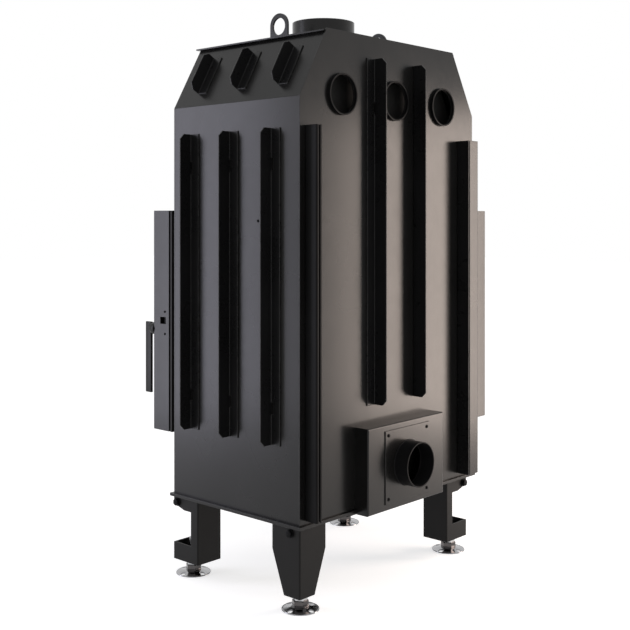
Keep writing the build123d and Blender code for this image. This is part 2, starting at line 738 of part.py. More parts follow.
def web_points(kind, reach):
    """Outline of one leg web: distance back from the corner, and height."""
    if kind == "tapered":
        taper = [(-LEG_TAPER_FOOT, LEG_BOTTOM), (-reach, LEG_TAPER_Z)]
        return [(0, LEG_BOTTOM), *taper, (-reach, BASE_Z), (0, BASE_Z)]
    if kind == "plain":
        return [(0, LEG_BOTTOM), (-reach, LEG_BOTTOM), (-reach, BASE_Z), (0, BASE_Z)]
    return [
        (0, LEG_BOTTOM),
        (-reach, LEG_BOTTOM),
        (-reach, LEG_FOOT_Z),
        (-LEG_POST, LEG_FOOT_Z),
        (-LEG_POST, LEG_GUSSET_Z),
        (-2 * LEG_POST, LEG_GUSSET_Z),
        (-reach, LEG_GUSSET_Z + LEG_GUSSET_RISE),
        (-reach, BASE_Z),
        (0, BASE_Z),
    ]


def leg(corner, pad, web_x, web_y, bolt):
    """Sheet leg with its bend at the corner; each web has a kind and a reach."""
    x, y = corner
    sheet = LEG_SHEET
    face_x = outline([(y + back, z) for back, z in web_points(*web_x)])
    face_y = outline([(x + back, z) for back, z in web_points(*web_y)])
    body = along_x(face_x, (x - sheet, x)) + along_y(face_y, (y - sheet, y))
    bend = min(body.edges().filter_by(Axis.Z), key=lambda e: abs(e.center().X - x) + abs(e.center().Y - y))
    body = fillet(bend, sheet)
    foot_y = LEG_TAPER_FOOT if web_x[0] == "tapered" else web_x[1]
    foot_x = LEG_TAPER_FOOT if web_y[0] == "tapered" else web_y[1]
    floor = (LEG_BOTTOM, LEG_BOTTOM + sheet)
    box_foot = (LEG_BOTTOM, LEG_FOOT_Z)
    body += block((x - foot_x, x - sheet), (y - foot_y, y - sheet), floor)
    if web_x[0] == "cut":
        body += block((x - foot_x, x - sheet), (y - foot_y, y - foot_y + sheet), box_foot)
    if web_y[0] == "cut":
        body += block((x - foot_x, x - foot_x + sheet), (y - foot_y, y - sheet), box_foot)
    base = (pad[0], pad[1], LEG_BOTTOM)
    body += rod(base, (0, 0, 1), BOSS_R, sheet + BOSS_HEIGHT)
    body -= bolt_hole(*bolt, sheet + 1)
    return body - rod((pad[0], pad[1], LEG_BOTTOM - 1), (0, 0, 1), STEM_R + RUNNING_GAP, BOSS_HEIGHT + 10)


def bolt_hole(place, way, depth):
    """Hole that starts just outside the web's face and goes in against the bolt's way."""
    start = [at + step for at, step in zip(place, way)]
    return rod(start, [-step for step in way], BOLT_R, depth + 1)


def leg_bolts():
    length = LEG_SHEET + TAB_THICK + 2
    return group(hex_bolt(place, way, length) for place, way in LEG_BOLTS.values())


def leg_tab(place, way):
    """Tab under the base plate, just behind a leg's web, that the leg's bolt goes through."""
    z = (LEG_BOLT_Z - TAB_HALF_WIDTH, BASE_Z)
    spans = []
    for at, step in zip(place, way):
        depth = (at - LEG_SHEET - TAB_THICK, at - LEG_SHEET)
        spans.append(depth if step else (at - TAB_HALF_WIDTH, at + TAB_HALF_WIDTH))
    return block(spans[0], spans[1], z) - bolt_hole(place, way, LEG_SHEET + TAB_THICK + 1)


def leg_tabs():
    return group(leg_tab(place, way) for place, way in LEG_BOLTS.values())


def foot_pad(place):
    """Dished disc on its rim, with a ring of holes."""
    hub = STEM_HEX / 2 + 4
    rise = STEM_HEX_Z[0]
    profile = [
        (0, rise - PAD_THICK),
        (hub, rise - PAD_THICK),
        (PAD_R - 6, 0),
        (PAD_R, 0),
        (PAD_R, 0.6 * PAD_THICK),
        (PAD_R - 3, PAD_THICK),
        (hub, rise),
        (0, rise),
    ]
    disc = revolve(Plane.XZ * outline(profile), Axis.Z)
    for step in range(PAD_HOLES):
        turn = 2 * pi * step / PAD_HOLES
        hole = (PAD_HOLE_PCD / 2 * cos(turn), PAD_HOLE_PCD / 2 * sin(turn), -1)
        disc -= rod(hole, (0, 0, 1), PAD_HOLE_R, rise + 2)
    return Pos(place[0], place[1], 0) * disc


def foot_stem(place):
    """Threaded stem with the hexagon that turns it."""
    low, high = STEM_HEX_Z
    stem = rod((0, 0, high), (0, 0, 1), STEM_R, STEM_TOP - high)
    stem = chamfer(stem.edges().group_by(Axis.Z)[-1], HEX_CORNER_CUT)
    foot = Pos(0, 0, low) * hexagon(STEM_HEX, high - low) + stem
    return Pos(place[0], place[1], 0) * foot


def lock_nut(place):
    """Nut on the stem, tight against the hexagon."""
    nut = hexagon(LOCK_NUT_ACROSS, LOCK_NUT_HEIGHT)
    nut -= rod((0, 0, -1), (0, 0, 1), STEM_R, LOCK_NUT_HEIGHT + 2)
    return Pos(place[0], place[1], STEM_HEX_Z[1]) * nut


# Door

def door_frame():
    """Hollow sheet frame: outer border, closed edges, rear faces, and the reveals behind the panes."""
    sheet = DOOR_SHEET
    body = l_solid(DOOR_X, DOOR_Y, DOOR_FRONT_DEPTH, DOOR_SIDE_DEPTH, DOOR_Z)
    body -= l_solid(
        (DOOR_X[0] + sheet, DOOR_X[1] - sheet),
        (DOOR_Y[0] + sheet, DOOR_Y[1] - sheet),
        DOOR_FRONT_DEPTH - 2 * sheet,
        DOOR_SIDE_DEPTH - 2 * sheet,
        (DOOR_Z[0] + sheet, DOOR_Z[1] - sheet),
    )
    border_z = (DOOR_Z[0] + DOOR_BORDER, DOOR_Z[1] - DOOR_BORDER)
    body -= block((DOOR_X[0] - 1, PANE_END_X), (DOOR_Y[0] - 1, DOOR_Y[0] + sheet), border_z)
    body -= block((DOOR_X[0] - 1, DOOR_X[0] + sheet), (DOOR_Y[0] - 1, PANE_END_Y), border_z)
    rear_x = (DOOR_IN_X - sheet, DOOR_LOCK_RAIL_X)
    rear_y = (DOOR_BACK_Y - sheet, SIDE_VIEW_END_Y)
    body -= block(rear_x, rear_y, VIEW_Z)
    reveal_x = (DOOR_X[0] + PANE_BACK, LOCK_CHANNEL_X)
    reveal_y = (DOOR_Y[0] + PANE_BACK, SIDE_VIEW_END_Y + sheet)
    reveal_depth = (DOOR_FRONT_DEPTH - PANE_BACK, DOOR_SIDE_DEPTH - PANE_BACK)
    for z in ((VIEW_Z[1], VIEW_Z[1] + sheet), (VIEW_Z[0] - sheet, VIEW_Z[0])):
        body += l_solid(reveal_x, reveal_y, *reveal_depth, z)
    for x in (DOOR_LOCK_RAIL_X, LOCK_CHANNEL_X - sheet):
        body += block((x, x + sheet), (reveal_y[0], DOOR_BACK_Y), VIEW_Z)
    body += block((reveal_x[0], DOOR_IN_X), (SIDE_VIEW_END_Y, reveal_y[1]), VIEW_Z)
    rear_slot_x = (LOCK_CHANNEL_X, DOOR_X[1] - sheet)
    body -= block(rear_slot_x, (DOOR_BACK_Y - sheet - 1, DOOR_BACK_Y + 1), REAR_SLOT_Z)
    hinge_x = (DOOR_X[0], HINGE_X + HINGE_BLOCK_HALF)
    hinge_y = (HINGE_Y - HINGE_BLOCK_HALF, HINGE_Y + HINGE_BLOCK_HALF)
    for end, inward in zip(DOOR_Z, (1, -1)):
        z = sorted((end, end + inward * HINGE_BLOCK))
        body += block(hinge_x, hinge_y, z)
        body -= rod((HINGE_X, HINGE_Y, z[0] - 1), (0, 0, 1), HINGE_PIN_R + RUNNING_GAP, HINGE_BLOCK + 2)
    body -= block((DOOR_X[1] - sheet - 1, DOOR_X[1] + 1), WINDOW_Y, WINDOW_Z)
    body -= rod((LOCK_X, DOOR_Y[0] - 1, LOCK_Z), (0, 1, 0), LATCH_SPINDLE_R + RUNNING_GAP, sheet + 2)
    for z in LATCH_SCREW_Z:
        body -= rod((DOOR_X[1] - sheet - 1, LATCH_SCREW_Y, z), (1, 0, 0), LATCH_SCREW_R, sheet + 2)
    return body


def glass_z():
    lap = 15.0
    return (DOOR_Z[0] + DOOR_BORDER - lap, DOOR_Z[1] - DOOR_BORDER + lap)


def front_glass():
    x0 = DOOR_X[0] + DOOR_SHEET + GLASS_GAP
    y0 = DOOR_Y[0] + DOOR_SHEET + GLASS_GAP
    return block((x0, PANE_END_X + 15), (y0, y0 + GLASS_THICK), glass_z())


def side_glass():
    x0 = DOOR_X[0] + DOOR_SHEET + GLASS_GAP
    y0 = DOOR_Y[0] + DOOR_SHEET + GLASS_THICK + 2 * GLASS_GAP
    return block((x0, x0 + GLASS_THICK), (y0, PANE_END_Y + 15), glass_z())


def glass_clips():
    """Sheet clips on the frame's top and bottom edges, just behind the panes."""
    clips = []
    back = DOOR_SHEET + GLASS_THICK + 2 * GLASS_GAP
    half = CLIP_WIDTH / 2
    heights = (
        (DOOR_Z[0] + DOOR_SHEET, DOOR_Z[0] + DOOR_BORDER),
        (DOOR_Z[1] - DOOR_BORDER, DOOR_Z[1] - DOOR_SHEET),
    )
    front_y = (DOOR_Y[0] + back, DOOR_Y[0] + back + DOOR_SHEET)
    side_x = (DOOR_X[0] + back, DOOR_X[0] + back + DOOR_SHEET)
    for z in heights:
        clips += [block((x - half, x + half), front_y, z) for x in CLIP_X]
        clips += [block(side_x, (y - half, y + half), z) for y in CLIP_Y]
    return group(clips)


def door_gasket():
    """Flat rope in one loop round the opening, on the door's rear faces."""
    thick_front = FLANGE_Y[0] - DOOR_BACK_Y - GASKET_GAP
    thick_side = FLANGE_X[0] - DOOR_IN_X - GASKET_GAP
    x = (DOOR_IN_X, GASKET_END_X)
    y = (DOOR_BACK_Y, GASKET_END_Y)
    z = (VIEW_Z[0] - GASKET_INSET - GASKET_WIDTH, VIEW_Z[1] + GASKET_INSET + GASKET_WIDTH)
    loop = l_solid(x, y, thick_front, thick_side, (z[0], z[0] + GASKET_WIDTH))
    loop += l_solid(x, y, thick_front, thick_side, (z[1] - GASKET_WIDTH, z[1]))
    loop += block((x[1] - GASKET_WIDTH, x[1]), (y[0], y[0] + thick_front), z)
    loop += block((x[0], x[0] + thick_side), (y[1] - GASKET_WIDTH, y[1]), z)
    return loop


def hinge_brackets():
    """Arm above and arm below the door, from the left wall to an eye for the pin."""
    foot_width, foot_height, foot_thick = HINGE_FOOT
    foot_y = (HINGE_Y - foot_width / 2, HINGE_Y + foot_width / 2)
    brackets = []
    for end, away in zip(DOOR_Z, (-1, 1)):
        near = end + away * HINGE_GAP
        arm_z = sorted((near, near + away * HINGE_ARM))
        foot_z = sorted((near, near + away * foot_height))
        arm = block((HINGE_X, -SHEET_X), (HINGE_Y - HINGE_EYE_R, HINGE_Y + HINGE_EYE_R), arm_z)
        arm += rod((HINGE_X, HINGE_Y, arm_z[0]), (0, 0, 1), HINGE_EYE_R, HINGE_ARM)
        arm += block((-SHEET_X - foot_thick, -SHEET_X), foot_y, foot_z)
        arm -= rod((HINGE_X, HINGE_Y, arm_z[0] - 1), (0, 0, 1), HINGE_PIN_R, HINGE_ARM + 2)
        brackets.append(arm)
    return group(brackets)


def hinge_pins():
    """Pins held in the brackets, each with a head outside and its tip in the door's hinge block."""
    pins = []
    for end, away in zip(DOOR_Z, (-1, 1)):
        tip = end - away * 0.8 * HINGE_BLOCK
        head = end + away * (HINGE_GAP + HINGE_ARM)
        pin = rod((HINGE_X, HINGE_Y, min(tip, head)), (0, 0, 1), HINGE_PIN_R, abs(head - tip))
        cap_z = min(head, head + away * HINGE_PIN_HEAD)
        cap = rod((HINGE_X, HINGE_Y, cap_z), (0, 0, 1), HINGE_PIN_R + 3, HINGE_PIN_HEAD)
        pins.append(pin + cap)
    return group(pins)


# Handle and latch

def handle():
    """Flat bar hanging from a round boss."""
    bar = block(HANDLE_BAR_X, HANDLE_BAR_Y, HANDLE_BAR_Z)
    front = bar.faces().sort_by(Axis.Y)[0].edges().filter_by(Axis.Z)
    bar = chamfer(front, 3.0)
    bar = fillet(bar.edges().filter_by(Axis.X), 2.0)
    boss_y = DOOR_Y[0] - HANDLE_BOSS_LENGTH
    boss = rod((LOCK_X, boss_y, LOCK_Z), (0, 1, 0), HANDLE_BOSS_R, HANDLE_BOSS_LENGTH - HANDLE_GAP)
    boss = fillet(boss.edges().filter_by(GeomType.CIRCLE), 1.5)
    neck = rod((LOCK_X, HANDLE_BAR_Y[1], LOCK_Z), (0, 1, 0), HANDLE_NECK_R, boss_y - HANDLE_BAR_Y[1])
    bore = rod((LOCK_X, boss_y, LOCK_Z), (0, 1, 0), LATCH_SPINDLE_R, HANDLE_BOSS_LENGTH)
    return bar + neck + (boss - bore)


def latch_hook():
    """Spindle through the door front, with the finger that turns behind the keeper."""
    start = DOOR_Y[0] - HANDLE_BOSS_LENGTH
    depth = HOOK_Y[1] - HOOK_Y[0]
    spindle = rod((LOCK_X, start, LOCK_Z), (0, 1, 0), LATCH_SPINDLE_R, HOOK_Y[1] + depth - start)
    half = HOOK_WIDTH / 2
    tip_z = LOCK_Z + HOOK_REACH - half
    arm = block((LOCK_X - half, LOCK_X + half), HOOK_Y, (LOCK_Z, tip_z))
    tip = rod((LOCK_X, HOOK_Y[0], tip_z), (0, 1, 0), half, depth)
    eye = rod((LOCK_X, HOOK_Y[0], LOCK_Z), (0, 1, 0), HOOK_EYE_R, depth)
    return spindle + arm + tip + eye


def latch_case():
    """Bearing plate behind the door front, with a flange on the door's end face."""
    x1 = DOOR_X[1] - DOOR_SHEET
    web_y = (WINDOW_Y[0] - CASE_SHEET - 1, WINDOW_Y[0] - 1)
    web = block((CASE_X, x1), web_y, CASE_Z)
    margin = 3 * LATCH_SCREW_HEAD[0]
    flange_y = (web_y[0], LATCH_SCREW_Y + margin)
    flange_z = (LATCH_SCREW_Z[0] - margin, LATCH_SCREW_Z[1] + margin)
    case = web + block((x1 - CASE_SHEET, x1), flange_y, flange_z)
    through = (x1 - CASE_SHEET - 1, x1 + 1)
    case -= block(through, WINDOW_Y, WINDOW_Z)
    for z in LATCH_SCREW_Z:
        case -= rod((through[0], LATCH_SCREW_Y, z), (1, 0, 0), LATCH_SCREW_R, CASE_SHEET + 2)
    spindle_hole_r = LATCH_SPINDLE_R + RUNNING_GAP
    return case - rod((LOCK_X, web_y[0] - 1, LOCK_Z), (0, 1, 0), spindle_hole_r, CASE_SHEET + 2)


def latch_screws():
    radius, height = LATCH_SCREW_HEAD
    head = Cylinder(radius, height, align=(Align.CENTER, Align.CENTER, Align.MIN))
    head = fillet(head.edges().group_by(Axis.Z)[-1], height / 2)
    head -= Pos(0, 0, 0.4 * height) * extrude(RegularPolygon(0.47 * radius, 6), height)
    screw = head + shank(LATCH_SCREW_R, DOOR_SHEET + CASE_SHEET)
    return group(
        Plane(origin=(DOOR_X[1], LATCH_SCREW_Y, z), z_dir=(1, 0, 0)) * screw for z in LATCH_SCREW_Z
    )


def latch_keeper():
    """Bracket on the surround: foot, arm into the door's lock rail, and the lip the hook goes behind."""
    lip_reach, lip_thick = KEEPER_LIP
    foot_reach, foot_thick = KEEPER_FOOT
    lip_y = (HOOK_Y[0] - 1 - lip_thick, HOOK_Y[0] - 1)
    z = (LOCK_Z - KEEPER_HALF_HEIGHT, LOCK_Z + KEEPER_HALF_HEIGHT)
    foot_z = (LOCK_Z - 2 * KEEPER_HALF_HEIGHT, LOCK_Z + 2 * KEEPER_HALF_HEIGHT)
    arm = block((KEEPER_X, KEEPER_X + KEEPER_ARM), (lip_y[0], FLANGE_Y[0]), z)
    lip = block((KEEPER_X, KEEPER_X + lip_reach), lip_y, z)
    foot = block((KEEPER_X, KEEPER_X + foot_reach), (FLANGE_Y[0] - foot_thick, FLANGE_Y[0]), foot_z)
    return arm + lip + foot


# Firebox

def firebox_shell():
    """Inner steel box, open at the front and bottom, with an air jacket round it."""
    y = (FIREBOX_Y[0], SHELL_BACK_Y)
    inward = SHELL_GAP + SHELL_SHEET
    inside_top = SHELL_TOP - SHELL_SHEET
    body = along_y(hood_outline(SHELL_GAP, CASING_FLOOR, SHELL_TOP), y)
    body -= along_y(hood_outline(inward, CASING_FLOOR - 1, inside_top), (y[0] - 1, FIREBOX_Y[1]))
    opening_z = (VIEW_Z[0] - SHEET, VIEW_Z[1] + SHEET)
    body -= block((-SHELL_X - 1, FIREBOX_X[0]), (y[0] - 1, SIDE_VIEW_END_Y + SHEET), opening_z)
    body -= rod((0, FIREBOX_Y[1] - 1, AIR_Z), (0, 1, 0), DAMPER_R, SHELL_SHEET + 2)
    return body - rod((0, FLUE_Y, inside_top - 1), (0, 0, 1), FLUE_BORE - FLUE_WALL, SHELL_SHEET + 2)


def hearth_plate():
    """Steel floor that carries the lining, with the opening that the ash pan hangs in."""
    z = (HEARTH_Z - SHELL_SHEET, HEARTH_Z)
    return block(FIREBOX_X, FIREBOX_Y, z) - grate_block(-ASH_PAN_RIM, (z[0] - 1, z[1] + 1))


def baffle_ledge():
    """Shelf on the shell's left wall that carries the baffle; the lining carries its other edges."""
    y = (BAFFLE_FRONT_Y, FIREBOX_Y[1] - LINING)
    return block((FIREBOX_X[0], FIREBOX_X[0] + LINING), y, (LINING_TOP - LEDGE_THICK, LINING_TOP))


def grate_block(margin, z):
    """Box round the middle of the grate, larger than the grate by a margin on each side."""
    cx, cy = GRATE_CENTRE
    half_x = GRATE_SIZE[0] / 2 + margin
    half_y = GRATE_SIZE[1] / 2 + margin
    return block((cx - half_x, cx + half_x), (cy - half_y, cy + half_y), z)


def boards(x, y, z, count, axis):
    """Row of equal boards that fill a box, with narrow joints between them."""
    low, high = (x, y)[axis]
    width = (high - low) / count
    row = []
    for step in range(count):
        span = (low + step * width + BOARD_JOINT / 2, low + (step + 1) * width - BOARD_JOINT / 2)
        board = block(span, y, z) if axis == 0 else block(x, span, z)
        row.append(chamfer(board.edges().filter_by(Axis.Z), BOARD_CHAMFER))
    return group(row)


def side_lining():
    x = (FIREBOX_X[1] - LINING, FIREBOX_X[1])
    return boards(x, (FIREBOX_Y[0], FIREBOX_Y[1] - LINING), (FLOOR_TOP, LINING_TOP), 3, 1)


def back_lining():
    return boards(FIREBOX_X, (FIREBOX_Y[1] - LINING, FIREBOX_Y[1]), (FLOOR_TOP, LINING_TOP), 4, 0)


def floor_lining():
    """Four boards round the grate."""
    cx, cy = GRATE_CENTRE
    half_x = GRATE_SIZE[0] / 2 + BOARD_JOINT
    half_y = GRATE_SIZE[1] / 2 + BOARD_JOINT
    z = (HEARTH_Z, FLOOR_TOP)
    middle = (cx - half_x + BOARD_JOINT / 2, cx + half_x - BOARD_JOINT / 2)
    return group([
        block((FIREBOX_X[0], cx - half_x), FIREBOX_Y, z),
        block((cx + half_x, FIREBOX_X[1]), FIREBOX_Y, z),
        block(middle, (FIREBOX_Y[0], cy - half_y), z),
        block(middle, (cy + half_y, FIREBOX_Y[1]), z),
    ])


def grate():
    """Cast plate with a row of slots, just below the top of the floor lining."""
    z = (HEARTH_Z + PAN_SHEET, FLOOR_TOP - 3)
    body = grate_block(0, z)
    cx, cy = GRATE_CENTRE
    pitch = (GRATE_SIZE[0] - 2 * GRATE_RIM) / GRATE_SLOTS
    half_slot = pitch * GRATE_SLOT_SHARE / 2
    half_length = GRATE_SIZE[1] / 2 - GRATE_RIM
    for step in range(GRATE_SLOTS):
        x = cx + (step - (GRATE_SLOTS - 1) / 2) * pitch
        slot_y = (cy - half_length, cy + half_length)
        body -= block((x - half_slot, x + half_slot), slot_y, (z[0] - 1, z[1] + 1))
    return body


def ash_pan():
    """Tray that hangs by its rim in the hearth plate, under the grate."""
    top = HEARTH_Z + PAN_SHEET
    wall_margin = -ASH_PAN_RIM - PAN_SHEET
    tray = grate_block(wall_margin, (ASH_PAN_Z, top)) + grate_block(-PAN_SHEET, (HEARTH_Z, top))
    return tray - grate_block(wall_margin - PAN_SHEET, (ASH_PAN_Z + PAN_SHEET, top + 1))


def baffle():
    x = (FIREBOX_X[0] + 2, FIREBOX_X[1] - 2)
    board = block(x, (BAFFLE_FRONT_Y, FIREBOX_Y[1] - 2), (LINING_TOP, LINING_TOP + BAFFLE_THICK))
    return chamfer(board.edges().filter_by(Axis.X), 4.0)


def log_guard():
    """Low rail along both panes that keeps logs off the glass."""
    x = (FIREBOX_X[0] + 6, FIREBOX_X[1] - LINING - 6)
    y = (FIREBOX_Y[0] + 6, SIDE_VIEW_END_Y)
    z = (FLOOR_TOP, FLOOR_TOP + GUARD_HEIGHT)
    rail = l_solid(x, y, GUARD_THICK, GUARD_THICK, z)
    slot_length, slot_height = GUARD_SLOT
    slot_z = (z[0] + slot_height, z[0] + 2 * slot_height)
    across_x = (x[0] - 1, x[0] + GUARD_THICK + 1)
    across_y = (y[0] - 1, y[0] + GUARD_THICK + 1)
    for step in range(7):
        start = x[0] + slot_length / 2 + step * GUARD_SLOT_PITCH
        rail -= block((start, start + slot_length), across_y, slot_z)
    for step in range(4):
        start = y[0] + slot_length / 2 + step * GUARD_SLOT_PITCH
        rail -= block(across_x, (start, start + slot_length), slot_z)
    return rail


SOLO_PARTS = [
    base_plate,
    right_wall,
    left_wall,
    back_panel,
    front_panel,
    top_plate,
    door_surround,
    flue_collar,
    lifting_lugs,
    hot_air_collars,
    hood_fins_right,
    hood_fins_left,
    back_fin_right,
    back_fin_left,
    corner_rail_right,
    corner_rail_left,
    air_box,
    air_box_cover,
    air_pipe,
    air_cover_screws,
    damper_housing,
    damper_flap,
    slide_guide,
    air_slide,
    leg_tabs,
    leg_bolts,
    door_frame,
    front_glass,
    side_glass,
    glass_clips,
    door_gasket,
    handle,
    latch_hook,
    latch_case,
    latch_screws,
    latch_keeper,
    hinge_brackets,
    hinge_pins,
    firebox_shell,
    hearth_plate,
    baffle_ledge,
    side_lining,
    back_lining,
    floor_lining,
    grate,
    ash_pan,
    baffle,
    log_guard,
]


def insert():
    """Every sub-part by name."""
    parts = {make.__name__: make() for make in SOLO_PARTS}
    for index in range(3):
        parts[f"side_fin_{index + 1}"] = side_fin(index)
    for place, pad in PADS.items():
        parts[f"leg_{place}"] = leg(LEG_CORNERS[place], pad, *LEG_WEBS[place], LEG_BOLTS[place])
        parts[f"foot_pad_{place}"] = foot_pad(pad)
        parts[f"foot_stem_{place}"] = foot_stem(pad)
        parts[f"lock_nut_{place}"] = lock_nut(pad)
    return parts


os.makedirs("parts", exist_ok=True)
for name, shape in insert().items():
    export_step(Pos(SHIFT_X, SHIFT_Y, 0) * shape, f"parts/{name}.step")
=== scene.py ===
"""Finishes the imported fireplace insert: paint, metals, fire lining, small turned parts, and its stage."""

from math import ceil, cos, pi, radians, sin

import bpy
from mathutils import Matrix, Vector


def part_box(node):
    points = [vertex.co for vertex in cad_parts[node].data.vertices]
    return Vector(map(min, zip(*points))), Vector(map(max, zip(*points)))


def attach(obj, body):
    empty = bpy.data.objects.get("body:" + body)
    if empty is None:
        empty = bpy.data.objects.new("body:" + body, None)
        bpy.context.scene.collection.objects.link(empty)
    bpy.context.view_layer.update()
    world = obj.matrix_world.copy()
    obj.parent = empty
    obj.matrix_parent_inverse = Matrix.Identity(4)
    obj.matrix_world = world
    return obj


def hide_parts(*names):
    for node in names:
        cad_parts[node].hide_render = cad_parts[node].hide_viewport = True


bl_info = {
    "name": "Fireplace Insert Finisher",
    "version": (1, 0, 0),
    "blender": (4, 5, 0),
    "location": "View3D > Sidebar > Insert",
    "description": "Paints a steel fireplace insert and makes its feet, fasteners, handle, knob and seals",
    "category": "Object",
}

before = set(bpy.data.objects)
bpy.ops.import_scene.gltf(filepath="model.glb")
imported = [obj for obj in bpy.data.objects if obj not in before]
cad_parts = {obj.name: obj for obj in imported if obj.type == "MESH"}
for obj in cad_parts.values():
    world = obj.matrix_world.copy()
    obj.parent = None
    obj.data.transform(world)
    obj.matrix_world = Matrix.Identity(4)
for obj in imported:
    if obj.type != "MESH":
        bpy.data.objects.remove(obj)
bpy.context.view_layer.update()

FOOT_PLACES = ("back_right", "back_left", "front_right", "front_left")

# Vertices closer than this are merged
MERGE_GAP = 0.000004

# Sides of a weld bead's section, and steps along it for each ripple
BEAD_SIDES = 10
RIPPLE_STEPS = 3

# Middle of each leg bolt's washer on its web, and the turn that points the head away from the web
TO_RIGHT = (0.0, pi / 2, 0.0)
TO_BACK = (-pi / 2, 0.0, 0.0)
LEG_BOLT_PLACES = {
    "back_right": ((0.4115, 0.25555, 0.213), TO_RIGHT),
    "back_left": ((-0.3165, 0.28855, 0.213), TO_BACK),
    "front_right": ((0.4115, -0.18845, 0.213), TO_RIGHT),
    "front_left": ((-0.2305, -0.18845, 0.213), TO_RIGHT),
}

# Finish that each of the record's material slots gets on the CAD parts
SLOT_FINISHES = {
    "stove_black": "casing_paint",
    "fin_black": "fin_paint",
    "leg_black": "leg_paint",
    "chrome_foot": "foot_chrome",
    "black_fastener": "blackened_steel",
    "handle_black": "handle_enamel",
    "latch_chrome": "latch_chrome",
    "plain_steel": "rolled_steel",
    "clear_glass": "stove_glass",
    "gasket_rope": "seal_rope",
    "lining_board": "vermiculite_board",
    "cast_grate": "cast_iron",
    "shell_black": "shell_paint",
}

# Finish of the CAD parts that look different from the rest of their slot
PART_FINISHES = {
    "corner_rail_right": "dull_paint",
    "hot_air_collars": "dull_paint",
    "air_pipe": "dull_paint",
    "latch_case": "blackened_steel",
    "latch_hook": "dull_paint",
    "latch_keeper": "dull_paint",
    "door_surround": "leg_paint",
}

# Camera, and each lamp's place, target, width and height
CAMERA_PLACE = (2.3420, 2.10335, 1.0214)
CAMERA_HEADING = 132.395
CAMERA_SHIFT = -0.1546
COOL_LAMP = ((1.70, -1.55, 0.995), (0.41, -0.09, 0.995), 0.71, 1.89)
WARM_LAMP = ((-1.52, 1.31, 0.777), (-0.13, 0.29, 0.777), 0.68, 1.454)


# Settings

def length(label, about, size, low=0.0):
    return bpy.props.FloatProperty(
        name=label, description=about, default=size, min=low, unit="LENGTH", precision=5
    )


def share(label, about, amount):
    return bpy.props.FloatProperty(
        name=label, description=about, default=amount, min=0.0, max=1.0, subtype="FACTOR"
    )


def count(label, about, number, low=1):
    return bpy.props.IntProperty(name=label, description=about, default=number, min=low)


def color(label, about, red, green, blue):
    return bpy.props.FloatVectorProperty(
        name=label, description=about, default=(red, green, blue), size=3, min=0.0, max=1.0, subtype="COLOR"
    )


def number(label, about, value):
    return bpy.props.FloatProperty(name=label, description=about, default=value, min=0.0)


class PaintSettings(bpy.types.PropertyGroup):
    casing_color: color("Casing", "Colour of the heat-proof paint on the casing", 0.0100, 0.0097, 0.0095)
    fin_color: color("Fins", "Colour of the paint on the fins and rails", 0.0085, 0.0084, 0.0088)
    dull_color: color("Dull paint", "Colour of the dull paint on smaller parts", 0.0085, 0.0084, 0.0088)
    leg_color: color("Legs", "Colour of the paint on the legs", 0.0080, 0.0076, 0.0074)
    handle_color: color("Handle", "Colour of the handle's enamel", 0.0120, 0.0115, 0.0110)
    shell_color: color("Firebox shell", "Colour of the dull paint inside", 0.0240, 0.0230, 0.0220)
    # Edge colour: partly paint rubbed thin, partly a painted highlight that draws a light line along each
    # edge
    edge_wear_and_highlight_color: color("Worn edge and highlight", "Colour of an edge, where paint is rubbed thin and a highlight is painted", 0.1200, 0.1170, 0.1140)
    casing_roughness: share("Casing roughness", "Roughness of the casing's satin paint", 0.25)
    fin_roughness: share("Fin roughness", "Roughness of the paint on the fins", 0.28)
    leg_roughness: share("Leg roughness", "Roughness of the paint on the legs", 0.46)
    handle_roughness: share("Handle roughness", "Roughness of the handle's enamel", 0.30)
    shell_roughness: share("Shell roughness", "Roughness of the dull paint inside", 0.70)
    cloud_pitch: length("Cloud pitch", "Size of the paint's cloudy patches", 0.21)
    rub_pitch: length("Rub pitch", "Size of the rubbed patches in the paint", 0.030)
    peel_pitch: length("Peel pitch", "Distance between the bumps of the sprayed paint", 0.0026)
    peel_depth: length("Peel depth", "Height of the bumps of the sprayed paint", 0.000012)
    wave_pitch: length("Sheet wave pitch", "Distance between the slow waves of the sheet", 0.42)
    wave_depth: length("Sheet wave depth", "Height of the slow waves of the sheet", 0.0002)
    edge_radius: length("Edge radius", "Radius of the paint over an edge", 0.0012)
    bend_radius: length("Bend radius", "Radius of the fins' bend and edges", 0.0024)
    casing_gloss: share("Casing gloss", "How strongly the casing's paint mirrors", 0.24)
    fin_gloss: share("Fin gloss", "How strongly the paint on the fins mirrors", 0.22)
    leg_gloss: share("Leg gloss", "How strongly the paint on the legs mirrors", 0.13)
    handle_gloss: share("Handle gloss", "How strongly the handle's enamel mirrors", 0.12)
    shell_gloss: share("Shell gloss", "How strongly the dull paint inside mirrors", 0.30)
    dull_gloss: share("Dull gloss", "How strongly that dull paint mirrors", 0.06)
    dull_roughness: share("Dull roughness", "Roughness of that dull paint", 0.40)


